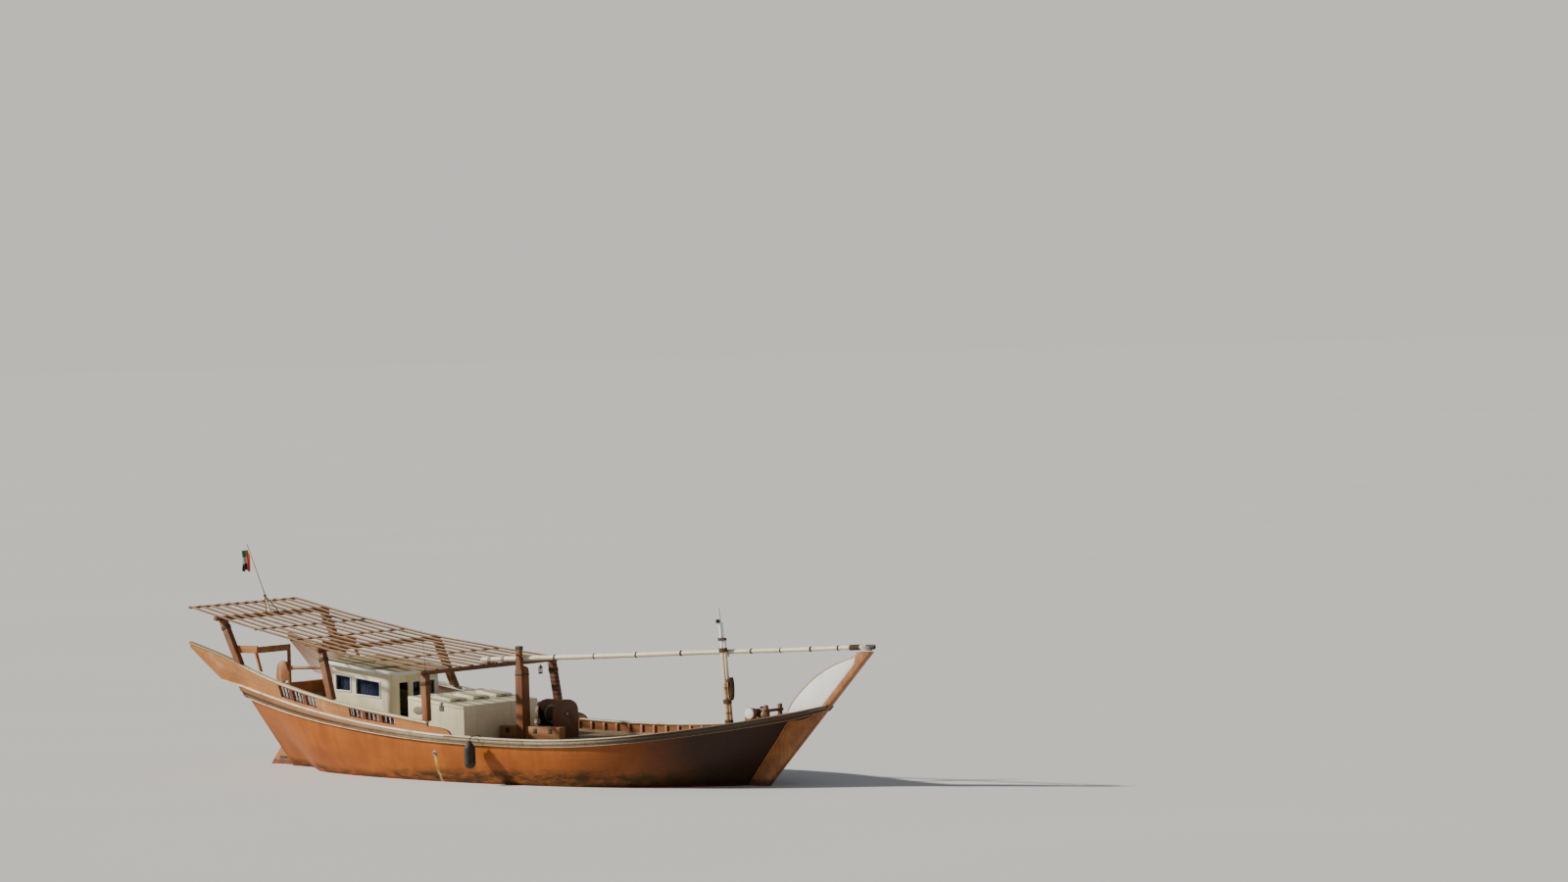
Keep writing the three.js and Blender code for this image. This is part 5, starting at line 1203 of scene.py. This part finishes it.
laths = [mark_edges(sweep((x - half, x + half), lath), 0.006) for x, half in LATHS]
piece("sun_shade_laths", laths, "dark_wood")
piece("sun_shade_slats", slats, "roof_slats", nodes=["roof_slats"])
nails = [bolt((x + 0.01, across_shade(i, x), curve(ROOF_LINE, x) + 0.002), (0, 0, 1), 0.011)
         for x in (-13.16, -11.8, -10.0, -8.3, -6.9, -4.3, -1.98) for i in range(SLATS)]
piece("slat_nails", nails, "galvanised_steel")
for beam in ("stern", "middle", "fore"):
    dressed(f"roof_beam_{beam}", width=0.012)
    for side in SIDES:
        look = "banded_post" if (beam, side) == ("fore", "port") else "oiled_wood"
        dressed(f"roof_post_{beam}_{side}", look, 0.014)
for side in SIDES:
    dressed(f"stern_seat_{side}", "seat_boards", 0.007)

# Lashings where the posts meet the beams, from each post's place at its head and foot
POST_HALF = 0.112
lashings = []
for top_x, top_y, foot_x, foot_y in ((-11.8, 2.48, -10.83, 2.55), (-6.9, 2.85, -6.18, 3.1),
                                     (-1.98, 3.17, -1.8, 3.335)):
    for side in SIDES.values():
        head = Vector((top_x, side * top_y, straight(ROOF_LINE, top_x)))
        foot = Vector((foot_x, side * foot_y, wing_top(foot_x) - 0.15))
        down = (foot - head).normalized()
        lashings.append(square_turns(head + down * 0.42, down, POST_HALF, 0.011, 5))
piece("post_lashings", lashings, "brown_rope")

# Flagstaff and a limp flag
staff = ((-11.83, 0, 5.13), (-12.2, 0, 5.95), (-12.55, 0, 6.73), (-12.905, 0, 7.515))
piece("flagstaff_pole", pole(staff, 5, 0.036, 0.0009, 14), "spar_paint", nodes=["flagstaff"])
struts = [tube([(-12.12, 0, 5.76), (-11.79, side * 0.3, 5.23)], 0.018, 10) for side in SIDES.values()]
piece("flagstaff_struts", [*struts, turns((-12.1, 0, 5.72), (-0.41, 0, 0.91), 0.043, 0.008, 4)], "oiled_wood")


def flag_fold(u, v):
    ripple = 0.045 * math.sin(u * 15 + v * 1.8) * (0.35 + 0.65 * v ** 0.5) + 0.02 * math.sin(u * 31 + v * 4)
    return (-12.79 - 0.39 * u * (1 - 0.12 * v), 0.025 + ripple * (0.3 + 0.7 * u),
            7.325 - 0.73 * v - 0.05 * u * (1 - v) - 0.03 * math.sin(u * 9) * v)


bunting = walled(skin(60, 24, flag_fold), lambda centre: Vector((0, 1, 0)), 0.004)
flag = piece("flag_folds", bunting, "flag_cloth", nodes=["flag"], smooth=80)

# Wheelhouse
for node in ("wheelhouse_front", "wheelhouse_side_starboard", "wheelhouse_side_port", "wheelhouse_back"):
    dressed(node)
dressed("wheelhouse_roof", "house_roof", 0.02, 3)


def house_roof(x):
    """Underside of the wheelhouse roof."""
    return 3.62 - 0.1125 * (x + 8.13)


def deck_at(x):
    return sheer(x) - DECK_DOWN


# Each side window's ends and a cut for its curtain
SIDE_WINDOWS = ((-7.74, -7.08, (0.73, 0.48)), (-6.83, -5.76, (1.2, 0.47)))
frames, curtains = [], []
for side in SIDES.values():
    for aft, fore, cut in SIDE_WINDOWS:
        low = deck_at(aft) + 0.85, deck_at(fore) + 0.91
        high = house_roof(aft) - 0.33, house_roof(fore) - 0.33
        frames.append(frame_round([Vector((x, side * 1.252, z)) for x, z in (
            (aft, low[0]), (fore, low[1]), (fore, high[1]), (aft, high[0]))], (0, side, 0)))

        def cloth(u, v):
            x = aft + 0.02 + (fore - aft - 0.04) * u
            foot, head = low[0] + 0.02 + (low[1] - low[0]) * u, high[0] - 0.02 + (high[1] - high[0]) * u
            return x, side * (1.13 + 0.014 * math.sin(u * (fore - aft) * 62 + v)), foot * (1 - v) + head * v

        curtains.append((walled(skin(72, 6, cloth), lambda centre: Vector((0, side, 0)), 0.003), cut))
low, high = (corner.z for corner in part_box("wheelhouse_glass_front"))
for near, far in ((-0.24, 0.16), (0.46, 0.88)):
    frames.append(frame_round([Vector((-5.198, y, z)) for y, z in oblong(near, far, low + 0.05, high - 0.05)],
                              (1, 0, 0)))
piece("window_frames", frames, "white_paint")
for k, (bm, cut) in enumerate(curtains):
    piece(f"curtain_{k}", bm, "curtain_cloth", smooth=80)
dressed("wheelhouse_door", width=0.004)
low, high = (corner.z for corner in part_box("wheelhouse_door"))
panels = [block((-5.64, -0.9, foot), (-5.26, -0.852, head))
          for foot, head in ((low + 0.14, low + 0.56), (low + 0.68, high - 0.14))]
piece("door_panels", panels, "door_paint", "wheelhouse_door")
handle = [(-5.61, y, z) for y, z in ((-0.85, 2.3), (-0.815, 2.3), (-0.815, 2.42), (-0.85, 2.42))]
piece("door_handle", tube(handle, 0.009, 10), "galvanised_steel", "wheelhouse_door")

# Ice box, its lids and fittings
ICE_SLOPE, ICE_SIDE = 0.11, -1.802


def ice_top(x):
    """Height of the box's sloping top."""
    return 2.64 - ICE_SLOPE * (x + 4)


dressed("ice_box", width=0.02, segments=3)
for name, y in (("starboard", -1.08), ("middle", 0.06), ("port", 1.2)):
    dressed(f"ice_box_lid_{name}", "lid_shell", 0.012, 3)
    place = Matrix.Translation((-3.31, y, ice_top(-3.31))) @ Matrix.Rotation(math.atan(ICE_SLOPE), 4, "Y")
    panel = [block((0.09, -0.32, 0.07), (0.81, 0.32, 0.086), 0.008)]
    panel += [block((0.1 + 0.16 * k, -0.27, 0.084), (0.17 + 0.16 * k, 0.27, 0.092), 0.004) for k in range(5)]
    seal = [block((a, -0.414, 0.0), (a + 0.04, 0.414, 0.012), 0.003) for a in (-0.004, 0.864)]
    seal += [block((0.036, b, 0.0), (0.864, b + 0.04, 0.012), 0.003) for b in (-0.414, 0.374)]
    grip = smooth_path(((0.9, -0.1, 0.04), (0.94, -0.085, 0.05), (0.95, 0, 0.048), (0.94, 0.085, 0.05),
                        (0.9, 0.1, 0.04)), 5)
    for kind, made, finish in (("panel", panel, "lid_shell"), ("grip", [tube(grip, 0.011, 10)], "brown_rope"),
                               ("seal", seal, "fender_rubber")):
        piece(f"lid_{kind}_{name}", moved(gathered(made), place), finish, f"lid_{name}")
latch = [block((-2.62, -1.825, 2.2), (-2.44, -1.8, 2.42)), block((-2.57, -1.845, 2.3), (-2.49, -1.82, 2.5)),
         bolt((-2.6, -1.826, 2.23), (0, -1, 0)), bolt((-2.46, -1.826, 2.23), (0, -1, 0))]
piece("ice_box_latch", latch, "galvanised_steel")
disc = (0, 0.006), (0.16, 0.006), (0.175, 0.0), (0.16, -0.006), (0, -0.006)
patch = turned(disc, (-3.55, ICE_SIDE, 2.18), 40, Matrix.Diagonal((1.35, 1, 0.8, 1)) @ SIDEWAYS)
piece("ice_box_patch", patch, "repair_patch")
plug = (0, 0.03), (0.03, 0.03), (0.034, 0.024), (0.036, 0.008), (0.055, 0.005), (0.055, -0.004), (0, -0.004)
plugs = [turned(plug, (x, ICE_SIDE, deck_at(x) + 0.11), 24, SIDEWAYS) for x in (-3.6, -1.95)]
piece("ice_box_drains", plugs, "fender_rubber")
strips = [mark_edges(sweep((-4.0, -1.55), lambda x: oblong(y - 0.018, y + 0.018, ice_top(x) - 0.1,
                                                           ice_top(x) - 0.05))) for y in (-1.8, 1.9)]
piece("ice_box_rubbing_strips", strips, "cream_shell")

# Mast step, tabernacle and winch
dressed("mast_step", "step_paint", 0.012)
# Thin black plates on the step's sides stand in for the dark of its notches: painted shade
notch_shade_plates = [block((x - 0.08, side * 0.15 - 0.008, 1.4), (x + 0.08, side * 0.15 + 0.008, 1.56), 0.003)
           for side in SIDES.values() for x in (-1.1, 0.1, 0.75)]
piece("mast_step_notch_shade", notch_shade_plates, "fender_rubber")
dressed("tabernacle_post", "oiled_wood", 0.014, 3)
bands = [block((-0.628, -0.258, 3.3), (-0.332, 0.138, 3.36), 0.004),
         bolt((-0.48, -0.26, 3.33), (0, -1, 0), 0.024),
         block((-0.588, -0.258, 4.16), (-0.372, -0.092, 4.268), 0.008)]
piece("tabernacle_bands", bands, "dark_iron")
piece("tabernacle_pin", tube([(-0.48, y, 3.98) for y in spread(-0.33, -0.02, 5)], 0.026, 14), "dark_iron")
WINCH_Y, WINCH_Z = 1.0, 1.96
dressed("winch_frame", "winch_paint", 0.014)
dressed("winch_drum")
warp = [turns((-0.182, WINCH_Y, WINCH_Z), (1, 0, 0), 0.204, 0.017, 14),
        turns((-0.165, WINCH_Y, WINCH_Z), (1, 0, 0), 0.236, 0.017, 12)]
piece("winch_rope", warp, "brown_rope", "winch_drum")
piece("winch_hank", [turns((-0.3, 0.44, 1.66), (0.05, 0.1, 1), (0.1, 0.07), 0.015, 5)], "pale_rope")
ribs = []
for x, aft, fore in ((-0.21, -0.036, 0.012), (0.36, -0.012, 0.036)):
    for k in range(6):
        place = Matrix.Translation((x, WINCH_Y, WINCH_Z)) @ Matrix.Rotation(k * math.pi / 3, 4, "X")
        ribs.append(moved(block((aft, -0.02, 0.06), (fore, 0.02, 0.285), 0.004), place))
piece("winch_drum_ribs", ribs, "galvanised_steel", "winch_drum")

# Bow windlass
dressed("windlass_frame", width=0.01)
dressed("windlass_drum", "white_paint")
piece("windlass_rope", [turns((9.4, -0.2, 2.33), (0, 1, 0), 0.122, 0.014, 9)], "brown_rope", "windlass_drum")

# Foremast of two poles lashed together, and the long stowed spar
MAST_Y = -0.19
main_pole = ((8.38, MAST_Y, 1.545), (8.345, MAST_Y + 0.004, 2.4), (8.27, MAST_Y - 0.006, 3.4),
             (8.185, MAST_Y + 0.004, 4.4), (8.13, MAST_Y, 5.2))
second_pole = ((8.5, MAST_Y, 1.545), (8.43, MAST_Y + 0.008, 2.5), (8.36, MAST_Y - 0.006, 3.5),
               (8.27, MAST_Y, 4.7))
stick = ((8.14, MAST_Y, 4.9), (8.1, MAST_Y, 5.3), (8.05, MAST_Y, 5.67))
poles = [pole(main_pole, 6, 0.095, 0.001, 20), pole(second_pole, 6, 0.058, 0.0005, 16),
         pole(stick, 4, 0.04, 0.0014, 14), block((8.06, -0.17, 4.086), (8.23, 0.1, 4.176), 0.01)]
piece("foremast_poles", poles, "mast_paint", nodes=["foremast"])
mast_rope = [turns((8.41 - 0.075 * (z - 1.54), MAST_Y, z), (-0.07, 0, 1), (0.155, 0.1), 0.011, count)
             for z, count in ((1.95, 6), (2.6, 6), (4.25, 6), (4.62, 4))]
piece("foremast_lashings", mast_rope, "brown_rope")
hank = [turns((8.49, MAST_Y - 0.08, 3.08), (0.03, 1, 0.02), (0.36, 0.07), 0.017, 5),
        turns((8.44, MAST_Y, 3.3), (-0.07, 0, 1), (0.13, 0.115), 0.014, 3)]
piece("foremast_hank", hank, "brown_rope")
ball = ((0, 0.07), (0.035, 0.061), (0.061, 0.035), (0.07, 0), (0.061, -0.035), (0.035, -0.061), (0, -0.07))
piece("masthead_ball", turned(ball, (8.09, MAST_Y - 0.1, 5.25), 24), "fender_rubber")
SPAR_AFT, SPAR_FORE = Vector((-2.262, 0, 3.762)), Vector((14.188, 0, 4.53))
SPAR_DIR = (SPAR_FORE - SPAR_AFT).normalized()


def on_spar(part):
    sway = 0.012 * math.sin(part * 9) + 0.008 * math.sin(part * 23)
    return SPAR_AFT.lerp(SPAR_FORE, part) + Vector((0, sway, 0.006 * math.sin(part * 14)))


def spar_radius(part):
    return 0.088 - 0.019 * part


def tie_spar(name, finish, thick, places):
    """Rope wound round the spar, at each place with its number of turns."""
    made = []
    for x, count in places:
        part = (x - SPAR_AFT.x) / (SPAR_FORE.x - SPAR_AFT.x)
        made.append(turns(on_spar(part), SPAR_DIR, spar_radius(part) + thick, thick, count))
    piece(name, made, finish)


spar_parts = spread(0, 1, 72)
spar_radii = [spar_radius(part) + 0.0025 * math.sin(part * 61) for part in spar_parts]
stowed = tube([on_spar(part) for part in spar_parts], spar_radii, 22)
piece("stowed_spar", stowed, "spar_paint", nodes=["spar"])
tie_spar("spar_ties", "tarred_rope", 0.008, (
    (0.9, 3), (2.6, 2), (4.4, 3), (6.3, 4), (9.2, 3), (10.4, 2), (11.6, 4), (12.7, 3)))
tie_spar("spar_white_lashings", "pale_rope", 0.011, ((-1.98, 5), (-1.4, 5), (-0.75, 5)))
tie_spar("spar_wrap", "brown_rope", 0.012, ((13.2, 8), (13.4, 8)))
end_cap = tube([SPAR_FORE - SPAR_DIR * d for d in (0.34, 0.33, 0.012, -0.002)], (0.076, 0.08, 0.08, 0.06), 22)
piece("spar_end_cap", end_cap, "fender_rubber")
piece("stem_head_tie", [turns((13.86, 0, 4.43), (0.17, 0, 1), (0.2, 0.135), 0.013, 5)], "pale_rope")

# Fender on its rope
FENDER_X, FENDER_Y = 0.47, -3.83
fender_profile = [(0, 0.56), (0.05, 0.563), (0.11, 0.585), (0.16, 0.64), (0.187, 0.72)]
for z in (0.74 + k * 0.078 for k in range(6)):
    fender_profile += [(0.189, z), (0.189, z + 0.05), (0.178, z + 0.058), (0.178, z + 0.068)]
fender_profile += [(0.186, 1.22), (0.16, 1.3), (0.11, 1.36), (0.07, 1.39), (0.06, 1.415), (0, 1.418)]
piece("fender_body", turned(fender_profile, (FENDER_X, FENDER_Y, 0), 40), "fender_rubber", nodes=["fender"])
over_rail = ((FENDER_Y, 1.36), (-3.825, 1.47), (-3.77, 1.57), (-3.65, 1.592), (-3.4, 1.588), (-3.27, 1.56),
             (-3.24, 1.48), (-3.24, 1.3))
piece("fender_rope", tube(smooth_path([(FENDER_X, y, z) for y, z in over_rail], 5), 0.016, 10), "brown_rope")
piece("fender_rope_turns", [turns((FENDER_X, FENDER_Y, 1.385), (0, 0, 1), 0.07, 0.013, 3)], "brown_rope")

# Bilge outlet, bitts, a float on the rail, lamp and whip aerial
outlet = ((0, -0.02), (0.036, -0.02), (0.036, 0.035), (0.05, 0.035), (0.05, 0.012), (0.085, 0.008),
          (0.085, -0.03), (0, -0.03))
piece("bilge_outlet", turned(outlet, (OUTLET_X, -hull_half(OUTLET_X, OUTLET_Z), OUTLET_Z), 28, SIDEWAYS),
      "galvanised_steel")
BITTS_X, FLOAT_X = 10.05, 10.3
rail, deck = sheer(BITTS_X), sheer(BITTS_X) - FORE_DECK_DOWN
bitts = [block((9.97, side * 0.36 - 0.06, deck - 0.02), (10.09, side * 0.36 + 0.06, deck + 0.5), 0.012)
         for side in SIDES.values()]
piece("bow_bitts", [*bitts, block((9.985, -0.5, rail + 0.17), (10.075, 0.5, rail + 0.26), 0.01)], "dark_wood")
sphere = [(0.1 * math.sin(a), 0.1 * math.cos(a)) for a in spread(0, math.pi, 12)]
afloat = FLOAT_X, -top_half(FLOAT_X) + 0.02, sheer(FLOAT_X) + 0.1
piece("rail_float", turned(sphere, afloat, 28), "float_paint")
LAMP = Vector((-1.98, 2.6, 0))
hood = ((0, 3.46), (0.012, 3.46), (0.012, 3.42), (0.04, 3.4), (0.075, 3.36), (0.082, 3.33), (0.07, 3.32),
        (0.07, 3.3), (0, 3.3))
cup = ((0, 3.16), (0.075, 3.16), (0.08, 3.14), (0.07, 3.12), (0, 3.12))
guards = [tube([LAMP + Vector((0.072 * math.cos(a), 0.072 * math.sin(a), z)) for z in (3.15, 3.31)], 0.005, 8)
          for a in spread(0, 5 * math.pi / 3, 5)]
piece("hanging_lamp", [turned(hood, LAMP, 24), turned(cup, LAMP, 24), *guards], "lamp_metal")
globe = ((0, 3.158), (0.045, 3.16), (0.06, 3.2), (0.062, 3.24), (0.045, 3.29), (0, 3.302))
piece("lamp_globe", turned(globe, LAMP, 24), "window_glass")
aerial = ((-2.0, -3.1, 3.5), (-2.03, -3.1, 3.9), (-2.08, -3.11, 4.5), (-2.15, -3.12, 5.0))
piece("whip_aerial", [pole(aerial, 5, 0.011, 0.0005, 10), block((-2.03, -3.13, 3.42), (-1.97, -3.07, 3.56))],
      "fender_rubber")

# Floor and light
floor_finish = Paint("floor_grey", 0.85)
floor_finish.base(floor_finish.spots(0.05, detail=2), (0.62, 0.63, 0.64), (0.66, 0.67, 0.68))
floor_mesh = bmesh.new()
bmesh.ops.create_circle(floor_mesh, cap_ends=True, radius=900, segments=64)
floor = bpy.data.meshes.new("floor")
floor_mesh.to_mesh(floor)
floor_mesh.free()
floor.materials.append(floor_finish.put())
floor_object = bpy.data.objects.new("floor", floor)
bpy.context.scene.collection.objects.link(floor_object)

sun_data = bpy.data.lights.new("key_light", "SUN")
sun_data.energy = 5.9
sun_data.angle = math.radians(3)
sun_data.color = (1.0, 0.93, 0.82)
sun = bpy.data.objects.new("key_light", sun_data)
sun.matrix_world = Vector((-0.72, -0.47, 0.5)).to_track_quat("Z", "Y").to_matrix().to_4x4()
bpy.context.scene.collection.objects.link(sun)

# The sky lights the boat softly, and shows in the floor's own tone
world = bpy.data.worlds.new("studio")
world.use_nodes = True
sky = world.node_tree
fill = sky.nodes["Background"]
fill.inputs["Color"].default_value = (0.75, 0.78, 0.83, 1)
fill.inputs["Strength"].default_value = 0.3
backdrop = sky.nodes.new("ShaderNodeBackground")
backdrop.inputs["Color"].default_value = (0.722, 0.696, 0.652, 1)
seen = sky.nodes.new("ShaderNodeLightPath")
choice = sky.nodes.new("ShaderNodeMixShader")
sky.links.new(seen.outputs["Is Camera Ray"], choice.inputs[0])
sky.links.new(fill.outputs[0], choice.inputs[1])
sky.links.new(backdrop.outputs[0], choice.inputs[2])
sky.links.new(choice.outputs[0], next(n for n in sky.nodes if n.type == "OUTPUT_WORLD").inputs["Surface"])
bpy.context.scene.world = world

# CAD nodes that are still shown get their finish
for node, made in frame["nodes"].items():
    for place in made.material_slots:
        place.material = FINISH[SLOT_OF[node]][1]
